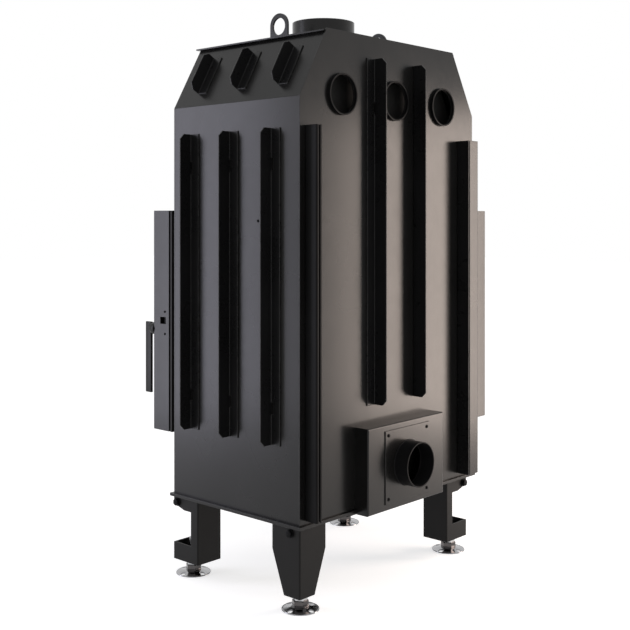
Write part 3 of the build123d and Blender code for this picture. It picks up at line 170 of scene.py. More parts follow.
class MetalSettings(bpy.types.PropertyGroup):
    chrome_color: color("Chrome", "Colour of the bright plating", 0.34, 0.34, 0.35)
    # Chrome darkened as painted shade: the hexagons and the latch are the same plating as the pads, drawn
    # darker as if mirroring dark surroundings
    chrome_painted_shade: color("Chrome, painted shade", "Chrome darkened with painted shade, on the hexagons and the latch", 0.085, 0.080, 0.080)
    steel_color: color("Steel", "Colour of rolled steel", 0.40, 0.40, 0.41)
    zinc_color: color("Zinc", "Colour of the zinc plating on the lock nuts", 0.52, 0.53, 0.54)
    black_color: color("Blackened steel", "Colour of the black fasteners", 0.006, 0.006, 0.0065)
    iron_color: color("Cast iron", "Colour of the grate and the log guard", 0.035, 0.035, 0.037)
    rubbed_color: color("Rubbed corner", "Colour of the black fasteners' rubbed corners", 0.07, 0.07, 0.065)
    rust_color: color("Rust", "Colour of the rust in the castings' hollows", 0.105, 0.048, 0.024)
    bare_iron: color("Bare iron", "Colour of the castings' worn edges", 0.16, 0.155, 0.15)
    chrome_roughness: share("Chrome roughness", "Roughness of the bright plating", 0.10)
    latch_roughness: share("Latch roughness", "Roughness of the latch's plating", 0.14)
    steel_roughness: share("Steel roughness", "Roughness of rolled steel", 0.38)
    edge_radius: length("Edge radius", "Radius of a turned or stamped edge", 0.0006)


class FireSettings(bpy.types.PropertyGroup):
    board_dark: color("Board, dark flakes", "Darkest flakes of the lining boards", 0.30, 0.22, 0.13)
    board_light: color("Board, light flakes", "Lightest flakes of the lining boards", 0.66, 0.57, 0.43)
    rope_color: color("Seal rope", "Colour of the door's woven rope", 0.055, 0.055, 0.058)
    glass_color: color("Glass", "Colour of the door's panes", 0.90, 0.92, 0.91)
    haze_color: color("Haze", "Colour of the haze on the panes", 0.80, 0.80, 0.78)
    glass_edge: color("Glass edge", "Colour of the panes' cut edges", 0.62, 0.78, 0.72)
    flake_size: length("Flake size", "Size of the flakes in the lining boards", 0.0045)
    braid_pitch: length("Braid pitch", "Distance between the strands of the rope", 0.0035)
    board_edge: length("Board edge", "Rounding of the lining boards' edges", 0.0020)
    iron_edge: length("Iron edge", "Rounding of the castings' edges", 0.0015)
    rope_edge: length("Rope edge", "Rounding of the rope's section", 0.0012)


class FootSettings(bpy.types.PropertyGroup):
    rim_width: length("Rim width", "Width of a pad's flat rim", 0.0060)
    pad_wall: length("Pad wall", "Thickness of a pad's sheet", 0.0040)
    hub_radius: length("Hub radius", "Radius of the raised middle of a pad", 0.0235)
    holes: count("Pad holes", "Holes in a pad", 4)
    hole_radius: length("Hole radius", "Radius of the holes in a pad", 0.0070)
    hole_circle: length("Hole circle", "Radius of the circle that the holes stand on", 0.0390)
    hexagon_across: length("Hexagon", "Width of the stem's hexagon across its flats", 0.0390)
    hexagon_top: length("Hexagon top", "Height of the hexagon's top above the floor", 0.0250)
    nut_across: length("Lock nut", "Width of the lock nut across its flats", 0.0340)
    corner_cut: length("Corner cut", "How far the hexagons' corners are turned off", 0.0020)
    thread_radius: length("Thread radius", "Radius over the thread's crests", 0.0120)
    thread_pitch: length("Thread pitch", "Distance between two crests of the thread", 0.0030, 0.0005)
    thread_depth: length("Thread depth", "Depth of the thread", 0.0016)
    turning: count("Turning steps", "Steps round a turned part", 96, 12)


class FastenerSettings(bpy.types.PropertyGroup):
    pan_radius: length("Pan head radius", "Radius of a cover screw's head", 0.00475)
    pan_height: length("Pan head height", "Height of a cover screw's head", 0.0032)
    cross_width: length("Cross width", "Width of the recess in a cover screw", 0.0012)
    bolt_across: length("Bolt across flats", "Width of a leg bolt's head across its flats", 0.0170)
    bolt_head: length("Bolt head", "Height of a leg bolt's head", 0.0070)
    washer_radius: length("Washer radius", "Radius of a leg bolt's washer", 0.0120)
    washer_height: length("Washer height", "Thickness of a leg bolt's washer", 0.0025)
    bolt_shank: length("Bolt shank", "Length of a leg bolt behind its washer", 0.0100)
    button_radius: length("Button radius", "Radius of a latch screw's head", 0.0036)
    button_height: length("Button height", "Height of a latch screw's head", 0.0020)
    socket_radius: length("Socket radius", "Radius of the socket in a latch screw", 0.0017)
    bead_radius: length("Weld bead radius", "Radius of a weld bead", 0.0022)
    bead_ripple: share("Weld ripple", "Ripple depth as a share of the bead's radius", 0.22)
    bead_pitch: length("Weld ripple pitch", "Distance between the ripples of a weld bead", 0.0030, 0.0005)


class DoorSettings(bpy.types.PropertyGroup):
    bar_edge: length("Bar edge", "Rounding of the handle bar's edges", 0.0020)
    boss_radius: length("Boss radius", "Radius of the handle's boss on the door", 0.0180)
    boss_length: length("Boss length", "Length of the handle's boss", 0.0187)
    neck_radius: length("Neck radius", "Radius of the neck between boss and bar", 0.0140)
    bar_depth: length("Bar depth", "Depth of the handle bar, front to back", 0.0261)
    bar_width: length("Bar width", "Width of the handle bar", 0.0080)
    knob_radius: length("Knob radius", "Radius of the air slide's knob", 0.0100)
    knob_length: length("Knob length", "Length of the air slide's knob", 0.0260)
    knob_groove: length("Knob groove", "Depth of the grooves round the knob", 0.0007)
    rod_radius: length("Rod radius", "Radius of the air slide's rod", 0.0040)
    pin_radius: length("Pin radius", "Radius of the pin that moves the flap", 0.0030)
    pin_height: length("Pin height", "Height of that pin above the rod's middle", 0.0140)


class StageSettings(bpy.types.PropertyGroup):
    floor_size: length("Floor size", "Side of the pale floor", 40.0)
    floor_color: color("Floor", "Colour of the floor", 0.80, 0.80, 0.80)
    floor_glow: share("Floor glow", "Brightness that is only seen, on top of its light", 0.62)
    ambient: share("Ambient light", "Brightness of the surroundings on the object", 0.55)
    cool_color: color("Cool lamp", "Colour of the lamp on the closed side", 0.86, 0.85, 1.0)
    cool_strength: number("Cool lamp strength", "Brightness of the lamp on the closed side", 4.8)
    warm_color: color("Warm lamp", "Colour of the lamp on the back", 1.0, 0.84, 0.74)
    warm_strength: number("Warm lamp strength", "Brightness of the lamp on the back", 10.5)
    lens: number("Lens", "Focal length of the camera, in millimetres", 59.63)


# Modelling by hand: pick, draw, turn, cut, round, copy

def unpick():
    bpy.ops.object.select_all(action="DESELECT")


def pick(*pieces):
    unpick()
    for piece in pieces:
        piece.select_set(True)
    bpy.context.view_layer.objects.active = pieces[-1]


def drawn_line(points):
    """Line through points that are given as distance from the Z axis and height. It is left in edit mode."""
    unpick()
    bpy.ops.mesh.primitive_plane_add(size=0.001)
    bpy.ops.object.mode_set(mode="EDIT")
    bpy.ops.mesh.merge(type="CENTER")
    corners = [Vector((out, 0.0, up)) for out, up in points]
    bpy.ops.transform.translate(value=corners[0])
    for start, end in zip(corners, corners[1:]):
        bpy.ops.mesh.extrude_vertices_move(TRANSFORM_OT_translate={"value": end - start})
    return bpy.context.object


def close_seams():
    """Merges what lies on the same spot and turns the faces outwards. Ends in object mode."""
    bpy.ops.mesh.select_all(action="SELECT")
    bpy.ops.mesh.remove_doubles(threshold=MERGE_GAP)
    bpy.ops.mesh.normals_make_consistent(inside=False)
    bpy.ops.object.mode_set(mode="OBJECT")


def turned(points, steps):
    """Closed shape turned about Z from a line that starts and ends on the axis, or ends where it starts."""
    piece = drawn_line(points)
    bpy.ops.mesh.select_all(action="SELECT")
    bpy.ops.mesh.spin(steps=steps, angle=2 * pi, center=(0.0, 0.0, 0.0), axis=(0.0, 0.0, 1.0))
    close_seams()
    return piece


def prism(across, height):
    """Hexagon that stands on z = 0, with corners on the X axis."""
    unpick()
    bpy.ops.mesh.primitive_cylinder_add(
        vertices=6,
        radius=across / 2 / cos(pi / 6),
        depth=height,
        location=(0.0, 0.0, height / 2),
        rotation=(0.0, 0.0, pi / 2),
    )
    settle()
    return bpy.context.object


def bar(low, high):
    """Straight bar between two corners."""
    low = Vector(low)
    high = Vector(high)
    unpick()
    bpy.ops.mesh.primitive_cube_add(size=1.0, location=(low + high) / 2, scale=high - low)
    settle()
    return bpy.context.object


def settle():
    """Puts the picked pieces' place, turn and scale into their meshes."""
    bpy.ops.object.transform_apply(location=True, rotation=True, scale=True)


def use_modifier(piece, kind, **values):
    pick(piece)
    modifier = piece.modifiers.new(kind.title(), kind)
    for name, value in values.items():
        setattr(modifier, name, value)
    bpy.ops.object.modifier_apply(modifier=modifier.name)


def cut(piece, tool, way="DIFFERENCE"):
    """Cuts a piece with another one, which is used up."""
    use_modifier(piece, "BOOLEAN", object=tool, operation=way, solver="EXACT")
    pick(tool)
    bpy.ops.object.delete()
    pick(piece)


def joined(*pieces):
    pick(*pieces)
    bpy.ops.object.join()
    return bpy.context.object


def round_edges(piece, radius, segments, angle):
    use_modifier(
        piece, "BEVEL", width=radius, segments=segments, limit_method="ANGLE", angle_limit=radians(angle)
    )


def put(piece, place, turn=(0.0, 0.0, 0.0)):
    piece.rotation_euler = turn
    piece.location = place
    return piece


def copy_at(master, place, turn=(0.0, 0.0, 0.0)):
    """Copy with a mesh of its own, moved and turned from the master at the origin."""
    pick(master)
    bpy.ops.object.duplicate()
    return put(bpy.context.object, place, turn)


def scrap(piece):
    pick(piece)
    bpy.ops.object.delete()


def copy_of_part(part):
    """Copy of a CAD part with its loose triangles merged."""
    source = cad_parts[part]
    piece = bpy.data.objects.new(part + "_copy", source.data.copy())
    bpy.context.collection.objects.link(piece)
    pick(piece)
    bpy.ops.mesh.customdata_custom_splitnormals_clear()
    bpy.ops.object.mode_set(mode="EDIT")
    bpy.ops.mesh.select_all(action="SELECT")
    bpy.ops.mesh.remove_doubles(threshold=MERGE_GAP)
    bpy.ops.mesh.dissolve_limited(angle_limit=radians(0.5))
    bpy.ops.object.mode_set(mode="OBJECT")
    return piece


def fit(piece, name, body, slot, finish, *parts):
    """Names a finished piece, gives it its finish, and lets it ride on its body in place of its CAD parts."""
    pick(piece)
    settle()
    bpy.ops.object.shade_smooth_by_angle(angle=radians(35.0))
    piece.name = name
    piece.data.name = name
    piece.data.materials.clear()
    piece.data.materials.append(bpy.data.materials[finish])
    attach(piece, body)
    if parts:
        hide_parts(*parts)


def middle(part):
    low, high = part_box(part)
    return (low + high) / 2


# Patterns that the finishes are mixed from

def add(tree, kind, inputs=None, **settings):
    """New shader node with its settings. An input is a value, or another node's output to link."""
    node = tree.nodes.new(kind)
    for name, value in settings.items():
        setattr(node, name, value)
    for name, value in (inputs or {}).items():
        if isinstance(value, bpy.types.NodeSocket):
            tree.links.new(value, node.inputs[name])
        else:
            node.inputs[name].default_value = value
    return node


def new_finish(name):
    finish = bpy.data.materials.new(name)
    finish.use_nodes = True
    finish.node_tree.nodes.clear()
    return finish.node_tree


def opaque(rgb, lighter=1.0):
    return (*(min(1.0, part * lighter) for part in rgb), 1.0)


def pattern(tree, pitch, detail=2.0, stretch=(1.0, 1.0, 1.0)):
    """Soft random pattern with blotches about one pitch across, which may be stretched along an axis."""
    place = add(tree, "ShaderNodeTexCoord").outputs["Object"]
    scale = [part / pitch for part in stretch]
    placed = add(tree, "ShaderNodeMapping", {"Vector": place, "Scale": scale})
    noise = {"Vector": placed.outputs[0], "Scale": 1.0, "Detail": detail}
    return add(tree, "ShaderNodeTexNoise", noise).outputs[0]


def spread(tree, value, low, high, start=0.35, end=0.65):
    """The part of a pattern between start and end, spread from low to high."""
    inputs = {"Value": value, "From Min": start, "From Max": end, "To Min": low, "To Max": high}
    return add(tree, "ShaderNodeMapRange", inputs).outputs[0]


def combined(tree, operation, first, second):
    return add(tree, "ShaderNodeMath", {0: first, 1: second}, operation=operation).outputs[0]


def times(tree, first, second):
    return combined(tree, "MULTIPLY", first, second)


def mixed(tree, amount, first, second):
    return add(tree, "ShaderNodeMix", {0: amount, 6: first, 7: second}, data_type="RGBA").outputs[2]


def rounded_edges(tree, radius):
    """Normal that goes round the edges, and a pattern that is 1 on an edge and 0 away from it."""
    soft = add(tree, "ShaderNodeBevel", {"Radius": radius}, samples=6).outputs[0]
    plain = add(tree, "ShaderNodeNewGeometry").outputs["Normal"]
    same = add(tree, "ShaderNodeVectorMath", {0: soft, 1: plain}, operation="DOT_PRODUCT").outputs["Value"]
    return soft, spread(tree, same, 1.0, 0.0, 0.80, 0.99)


def bumps(tree, height, depth, normal):
    return add(
        tree, "ShaderNodeBump", {"Strength": 1.0, "Distance": depth, "Height": height, "Normal": normal}
    ).outputs[0]


def close_finish(tree, base, roughness, normal, **values):
    inputs = {"Base Color": base, "Roughness": roughness, "Normal": normal}
    inputs.update({name.replace("_", " "): value for name, value in values.items()})
    shader = add(tree, "ShaderNodeBsdfPrincipled", inputs)
    add(tree, "ShaderNodeOutputMaterial", {"Surface": shader.outputs[0]})


# Finishes

def spray_paint(name, kind, settings, waves=False, radius=None, wear_and_highlight=1.0):
    """Heat-proof spray paint: cloudy, with fine peel, slow waves of the sheet, and lighter edges that are
    partly paint rubbed thin and partly a painted highlight.
    """
    rgb, roughness, gloss = (getattr(settings, kind + end) for end in ("_color", "_roughness", "_gloss"))
    tree = new_finish(name)
    normal, edge = rounded_edges(tree, radius or settings.edge_radius)
    clouds = pattern(tree, settings.cloud_pitch, 4.0)
    rubs = pattern(tree, settings.rub_pitch, 5.0)
    base = mixed(tree, spread(tree, clouds, 0.0, 1.0), opaque(rgb, 0.80), opaque(rgb, 1.25))
    # Edges are painted lighter: partly paint rubbed thin, partly a painted highlight along each edge
    edge_wear_and_highlight = times(tree, edge, spread(tree, rubs, 0.25, 0.80, 0.40, 0.66))
    base = mixed(tree, edge_wear_and_highlight, base, opaque(settings.edge_wear_and_highlight_color, wear_and_highlight))
    cloudy = spread(tree, clouds, roughness - 0.01, roughness + 0.01)
    rubbed = spread(tree, rubs, -0.01, 0.01)
    rough = combined(tree, "ADD", cloudy, rubbed)
    if waves:
        normal = bumps(tree, pattern(tree, settings.wave_pitch, 1.0), settings.wave_depth, normal)
    normal = bumps(tree, pattern(tree, settings.peel_pitch), settings.peel_depth, normal)
    close_finish(tree, base, rough, normal, Specular_IOR_Level=gloss)


def plating(name, rgb, roughness, metal):
    """Bright plating with finger smears and fine polishing marks."""
    tree = new_finish(name)
    normal, edge = rounded_edges(tree, metal.edge_radius)
    smears = pattern(tree, 0.012, 4.0)
    marks = pattern(tree, 0.0006, 3.0, (1.0, 1.0, 0.15))
    base = mixed(tree, spread(tree, smears, 0.0, 1.0), opaque(rgb, 0.88), opaque(rgb, 1.06))
    base = mixed(tree, times(tree, edge, 0.6), base, opaque(rgb, 1.25))
    rough = spread(tree, smears, roughness * 0.7, roughness * 1.7)
    close_finish(tree, base, rough, bumps(tree, marks, 0.000002, normal), Metallic=1.0)


def rolled_metal(name, rgb, roughness, metal):
    """Bare rolled steel with streaks along its length and a few darker stains."""
    tree = new_finish(name)
    normal, edge = rounded_edges(tree, metal.edge_radius)
    stains = pattern(tree, 0.05, 5.0)
    streaks = pattern(tree, 0.0012, 3.0, (1.0, 1.0, 0.04))
    base = mixed(tree, spread(tree, stains, 0.0, 1.0), opaque(rgb, 0.70), opaque(rgb, 1.12))
    base = mixed(tree, times(tree, edge, 0.7), base, opaque(rgb, 1.5))
    rough = spread(tree, streaks, roughness - 0.08, roughness + 0.10)
    close_finish(tree, base, rough, bumps(tree, streaks, 0.00001, normal), Metallic=1.0, Anisotropic=0.4)


def zinc_plate(name, metal):
    """Zinc plating: pale blue-grey crystals, a little dull."""
    tree = new_finish(name)
    normal, edge = rounded_edges(tree, metal.edge_radius)
    rgb = metal.zinc_color
    place = add(tree, "ShaderNodeTexCoord").outputs["Object"]
    crystals = add(tree, "ShaderNodeTexVoronoi", {"Vector": place, "Scale": 450.0}).outputs["Color"]
    shade = add(tree, "ShaderNodeSeparateColor", {"Color": crystals}).outputs[0]
    base = mixed(tree, shade, opaque(rgb, 0.82), opaque(rgb, 1.15))
    base = mixed(tree, times(tree, edge, 0.5), base, opaque(rgb, 1.6))
    rough = spread(tree, shade, 0.26, 0.40, 0.0, 1.0)
    grain = pattern(tree, 0.0008, 3.0)
    close_finish(tree, base, rough, bumps(tree, grain, 0.000006, normal), Metallic=1.0)


def black_oxide(name, metal):
    """Blackened screws and bolts: oily black with bright rubbed corners."""
    tree = new_finish(name)
    normal, edge = rounded_edges(tree, metal.edge_radius)
    rgb = metal.black_color
    oil = pattern(tree, 0.004, 4.0)
    base = mixed(tree, spread(tree, oil, 0.0, 1.0), opaque(rgb, 0.7), opaque(rgb, 1.6))
    base = mixed(tree, times(tree, edge, spread(tree, oil, 0.1, 0.5)), base, opaque(metal.rubbed_color))
    rough = spread(tree, oil, 0.26, 0.42)
    normal = bumps(tree, pattern(tree, 0.0007), 0.000008, normal)
    close_finish(tree, base, rough, normal, Specular_IOR_Level=0.05)


def casting(name, metal, radius):
    """Cast iron: dark sand-cast skin with rust in its hollows and edges worn to bare metal."""
    tree = new_finish(name)
    normal, edge = rounded_edges(tree, radius)
    rgb = metal.iron_color
    skin = pattern(tree, 0.0035, 5.0)
    patches = pattern(tree, 0.06, 4.0)
    base = mixed(tree, spread(tree, skin, 0.0, 1.0), opaque(rgb, 0.65), opaque(rgb, 1.5))
    rust = times(tree, spread(tree, patches, 0.0, 0.5, 0.52, 0.70), spread(tree, skin, 1.0, 0.0))
    base = mixed(tree, rust, base, opaque(metal.rust_color))
    base = mixed(tree, times(tree, edge, 0.5), base, opaque(metal.bare_iron))
    rough = spread(tree, skin, 0.55, 0.78)
    close_finish(tree, base, rough, bumps(tree, skin, 0.0003, normal), Specular_IOR_Level=0.45)


def pressed_board(name, settings):
    """Pressed vermiculite: gold and tan flakes, pale crumbs, chalky surface."""
    tree = new_finish(name)
    normal, edge = rounded_edges(tree, settings.board_edge)
    place = add(tree, "ShaderNodeTexCoord").outputs["Object"]
    flakes = add(tree, "ShaderNodeTexVoronoi", {"Vector": place, "Scale": 1.0 / settings.flake_size})
    tone = add(tree, "ShaderNodeSeparateColor", {"Color": flakes.outputs["Color"]}).outputs[0]
    base = mixed(tree, tone, opaque(settings.board_dark), opaque(settings.board_light))
    dust = pattern(tree, 0.09, 4.0)
    base = mixed(tree, spread(tree, dust, 0.15, 0.60), base, opaque(settings.board_light, 1.1))
    base = mixed(tree, times(tree, edge, 0.5), base, opaque(settings.board_light, 1.3))
    crumbs = pattern(tree, 0.0016, 4.0)
    normal = bumps(tree, flakes.outputs["Distance"], 0.0005, normal)
    rough = spread(tree, tone, 0.72, 0.92, 0.0, 1.0)
    close_finish(tree, base, rough, bumps(tree, crumbs, 0.0003, normal), Specular_IOR_Level=0.3)


def woven_rope(name, settings):
    """Woven glass-fibre rope: crossing strands, grey fuzz and sooty patches."""
    tree = new_finish(name)
    plain = add(tree, "ShaderNodeNewGeometry").outputs["Normal"]
    place = add(tree, "ShaderNodeTexCoord").outputs["Object"]
    heights = []
    for lean in (1.0, -1.0):
        slanted = add(tree, "ShaderNodeMapping", {"Vector": place, "Scale": (1.0, 1.0, lean)})
        waves = {"Vector": slanted.outputs[0], "Scale": 0.32 / settings.braid_pitch, "Distortion": 0.6}
        heights.append(add(tree, "ShaderNodeTexWave", waves, bands_direction="DIAGONAL").outputs["Fac"])
    strands = combined(tree, "MAXIMUM", *heights)
    fuzz = pattern(tree, 0.0012, 4.0)
    soot = pattern(tree, 0.05, 3.0)
    # The strands' height pattern also paints the grooves between strands darker and their crests lighter:
    # painted shade and painted highlight
    base = mixed(tree, strands, opaque(settings.rope_color, 0.45), opaque(settings.rope_color, 1.6))
    base = mixed(tree, spread(tree, soot, 0.0, 0.5), base, opaque(settings.rope_color, 0.5))
    rough = spread(tree, fuzz, 0.80, 0.96)
    normal = bumps(tree, strands, 0.0006, plain)
    close_finish(tree, base, rough, bumps(tree, fuzz, 0.0002, normal), Specular_IOR_Level=0.2)


def ceramic_glass(name, settings):
    """Clear ceramic glass, a little uneven, with a faint haze of soot in patches."""
    tree = new_finish(name)
    normal, edge = rounded_edges(tree, 0.0010)
    haze = pattern(tree, 0.16, 3.0)
    slow = pattern(tree, 0.25, 1.0)
    hazy = spread(tree, haze, 0.0, 0.4)
    base = mixed(tree, hazy, opaque(settings.glass_color), opaque(settings.haze_color))
    base = mixed(tree, edge, base, opaque(settings.glass_edge))
    rough = spread(tree, haze, 0.01, 0.06)
    close_finish(tree, base, rough, bumps(tree, slow, 0.0002, normal), Transmission_Weight=1.0, IOR=1.52)


class FIREPLACE_OT_mix_finishes(bpy.types.Operator):
    """Mix every finish and put it on the CAD parts by their material slot"""

    bl_idname = "fireplace.mix_finishes"
    bl_label = "Mix the Finishes"

    def execute(self, context):
        paint = context.scene.insert_paint
        metal = context.scene.insert_metal
        fire = context.scene.insert_fire
        spray_paint("casing_paint", "casing", paint, waves=True)
        # The fins' bend radius also widens the painted edge highlight along their bends and edges
        spray_paint("fin_paint", "fin", paint, radius=paint.bend_radius)
        spray_paint("dull_paint", "dull", paint, wear_and_highlight=0.5)
        spray_paint("leg_paint", "leg", paint, wear_and_highlight=0.3)
        spray_paint("handle_enamel", "handle", paint)
        spray_paint("shell_paint", "shell", paint, waves=True)
        plating("foot_chrome", metal.chrome_color, metal.chrome_roughness, metal)
        # The hexagons and the latch get the chrome darkened as painted shade
        plating("hexagon_chrome", metal.chrome_painted_shade, metal.chrome_roughness, metal)
        plating("latch_chrome", metal.chrome_painted_shade, metal.latch_roughness, metal)
        zinc_plate("nut_zinc", metal)
        rolled_metal("rolled_steel", metal.steel_color, metal.steel_roughness, metal)
        black_oxide("blackened_steel", metal)
        casting("cast_iron", metal, fire.iron_edge)
        pressed_board("vermiculite_board", fire)
        woven_rope("seal_rope", fire)
        ceramic_glass("stove_glass", fire)
        for name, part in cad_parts.items():
            for holder in part.material_slots:
                finish = PART_FINISHES.get(name, SLOT_FINISHES[holder.material.name])
                holder.material = bpy.data.materials[finish]
        return {"FINISHED"}


# Feet

def copy_to_feet(master, part, name, body, slot, finish, lift=0.0):
    """Copies a master to each foot, raised by the lift, and deletes the master."""
    for place in FOOT_PLACES:
        node = f"{part}_{place}"
        at = middle(node)
        piece = copy_at(master, (at.x, at.y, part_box(node)[0].z + lift))
        fit(piece, f"{name}_{place}", f"{body}_{place}", slot, finish, node)
    scrap(master)


def pad_line(foot, low, high):
    """Half section of a foot pad: flat rim on the floor, slope up to the hub."""
    radius = (high.x - low.x) / 2
    top = high.z - low.z
    wall = foot.pad_wall
    hub = foot.hub_radius
    flat = radius - foot.rim_width
    return [
        (0.0, top - wall),
        (hub, top - wall),
        (flat, 0.0),
        (radius - 0.0005, 0.0),
        (radius, 0.0006),
        (radius, 0.0018),
        (radius - 0.0005, 0.0026),
        (radius - 0.0014, 0.0031),
        (radius - 0.0026, 0.0029),
        (radius - 0.0036, 0.0027),
        (hub + 0.0040, top - 0.0008),
        (hub + 0.0018, top - 0.0002),
        (hub, top),
        (0.0, top),
    ]


class FIREPLACE_OT_press_pads(bpy.types.Operator):
    """Turn the plated foot pads and punch their holes"""

    bl_idname = "fireplace.press_pads"
    bl_label = "Foot Pads"

    def execute(self, context):
        foot = context.scene.insert_feet
        low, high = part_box("foot_pad_back_right")
        pad = turned(pad_line(foot, low, high), foot.turning)
        punches = []
        for step in range(foot.holes):
            turn = 2 * pi * step / foot.holes
            place = (foot.hole_circle * cos(turn), foot.hole_circle * sin(turn), 0.004)
            unpick()
            bpy.ops.mesh.primitive_cylinder_add(
                vertices=32, radius=foot.hole_radius, depth=0.02, location=place
            )
            punches.append(bpy.context.object)
        cut(pad, joined(*punches))
        round_edges(pad, 0.0003, 2, 40.0)
        copy_to_feet(pad, "foot_pad", "plated_pad", "pad", "chrome_foot", "foot_chrome")
        return {"FINISHED"}


def hexagon(across, height, corner_cut, bore=None):
    """Hexagon with its corners turned off at both ends, and a bore with countersinks if one is given."""
    corner = across / 2 / cos(pi / 6)
    spare = 0.0002
    side = [
        (corner - corner_cut, 0.0),
        (corner + spare, corner_cut * 0.6),
        (corner + spare, height - corner_cut * 0.6),
        (corner - corner_cut, height),
    ]
    if bore:
        sink = 0.0012
        inside = [(bore + sink, height), (bore, height - sink), (bore, sink)]
        line = [(bore, sink), (bore + sink, 0.0), *side, *inside]
    else:
        line = [(0.0, 0.0), *side, (0.0, height)]
    body = turned(line, 72)
    cut(body, prism(across, height + 2 * spare), "INTERSECT")
    round_edges(body, 0.0004, 2, 34.0)
    return body


def thread(radius, depth, pitch, long):
    """Threaded rod that stands on z = 0, with a flat end and a turned-off top."""
    root = radius - depth
    line = [
        (root, 0.0),
        (root, 0.12 * pitch),
        (radius, 0.44 * pitch),
        (radius, 0.56 * pitch),
        (root, 0.88 * pitch),
        (root, pitch),
    ]
    rod = drawn_line(line)
    bpy.ops.object.mode_set(mode="OBJECT")
    turns = ceil(long / pitch) + 3
    shape = {"axis": "Z", "angle": 2 * pi, "screw_offset": pitch, "iterations": turns}
    fine = {"steps": 32, "render_steps": 32, "use_merge_vertices": True, "merge_threshold": MERGE_GAP}
    use_modifier(rod, "SCREW", **shape, **fine)
    rod.location.z = -1.5 * pitch
    settle()
    bpy.ops.object.mode_set(mode="EDIT")
    for height, side in ((0.0, "clear_inner"), (long, "clear_outer")):
        bpy.ops.mesh.select_all(action="SELECT")
        bpy.ops.mesh.bisect(
            plane_co=(0.0, 0.0, height), plane_no=(0.0, 0.0, 1.0), use_fill=True, **{side: True}
        )
    close_seams()
    spare = 0.001
    over = radius + spare
    top = long + spare
    kept = [(0.0, -spare), (over, -spare), (over, long - depth), (root, top), (0.0, top)]
    cut(rod, turned(kept, 48), "INTERSECT")
    return rod


class FIREPLACE_OT_cut_stems(bpy.types.Operator):
    """Cut the threaded stems and their hexagons"""

    bl_idname = "fireplace.cut_stems"
    bl_label = "Foot Stems"

    def execute(self, context):
        foot = context.scene.insert_feet
        low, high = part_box("foot_stem_back_right")
        grip = hexagon(foot.hexagon_across, foot.hexagon_top - low.z, foot.corner_cut)
        rod = thread(foot.thread_radius, foot.thread_depth, foot.thread_pitch, high.z - foot.hexagon_top)
        copy_to_feet(grip, "foot_stem", "stem_hexagon", "stem", "chrome_foot", "hexagon_chrome")
        lift = foot.hexagon_top - low.z
        copy_to_feet(rod, "foot_stem", "stem_thread", "stem", "chrome_foot", "foot_chrome", lift)
        return {"FINISHED"}


class FIREPLACE_OT_make_lock_nuts(bpy.types.Operator):
    """Make the zinc-plated lock nuts on the stems"""

    bl_idname = "fireplace.make_lock_nuts"
    bl_label = "Lock Nuts"

    def execute(self, context):
        foot = context.scene.insert_feet
        low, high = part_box("lock_nut_back_right")
        nut = hexagon(foot.nut_across, high.z - low.z, foot.corner_cut, foot.thread_radius)
        copy_to_feet(nut, "lock_nut", "zinc_nut", "stem", "plain_steel", "nut_zinc")
        return {"FINISHED"}


# Fasteners and welds

class FIREPLACE_OT_make_cover_screws(bpy.types.Operator):
    """Make the pan-head screws of the air box's cover"""

    bl_idname = "fireplace.make_cover_screws"
    bl_label = "Cover Screws"

    def execute(self, context):
        sizes = context.scene.insert_fasteners
        radius = sizes.pan_radius
        top = sizes.pan_height
        shank = 0.0024
        end = -0.0025
        line = [
            (0.0, end),
            (shank, end),
            (shank, 0.0),
            (radius, 0.0),
            (radius, 0.18 * top),
            (0.96 * radius, 0.42 * top),
            (0.84 * radius, 0.68 * top),
            (0.62 * radius, 0.88 * top),
            (0.34 * radius, 0.98 * top),
            (0.0, top),
        ]
        screw = turned(line, 40)
        half = sizes.cross_width / 2
        reach = 0.55 * radius
        for x, y in ((reach, half), (half, reach)):
            cut(screw, bar((-x, -y, 0.4 * top), (x, y, 1.4 * top)))
        low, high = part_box("air_cover_screws")
        sides = (low.x + radius, high.x - radius)
        heights = (low.z + radius, high.z - radius)
        places = [(x, z) for x in sides for z in heights]
        for index, (x, z) in enumerate(places, 1):
            piece = copy_at(screw, (x, high.y - top, z), TO_BACK)
            name = f"cover_screw_{index}"
            fit(piece, name, "casing", "black_fastener", "blackened_steel", "air_cover_screws")
        scrap(screw)
        return {"FINISHED"}


class FIREPLACE_OT_make_leg_bolts(bpy.types.Operator):
    """Make the hexagon bolts that hold the legs, with their washers"""

    bl_idname = "fireplace.make_leg_bolts"
    bl_label = "Leg Bolts"

    def execute(self, context):
        sizes = context.scene.insert_fasteners
        rim = sizes.washer_radius
        thick = sizes.washer_height
        shank = 0.0050
        end = -sizes.bolt_shank
        line = [
            (0.0, end),
            (shank - 0.0006, end),
            (shank, end + 0.0006),
            (shank, 0.0),
            (rim - 0.0002, 0.0),
            (rim, 0.0002),
            (rim, thick - 0.0003),
            (rim - 0.0003, thick),
            (0.0, thick),
        ]
        washer = turned(line, 48)
        head = hexagon(sizes.bolt_across, sizes.bolt_head, 0.0010)
        head.location.z = thick
        settle()
        for place, (at, turn) in LEG_BOLT_PLACES.items():
            for master, kind in ((washer, "washer"), (head, "head")):
                piece = copy_at(master, at, turn)
                name = f"leg_bolt_{kind}_{place}"
                fit(piece, name, "casing", "black_fastener", "blackened_steel", "leg_bolts")
        scrap(washer)
        scrap(head)
        return {"FINISHED"}


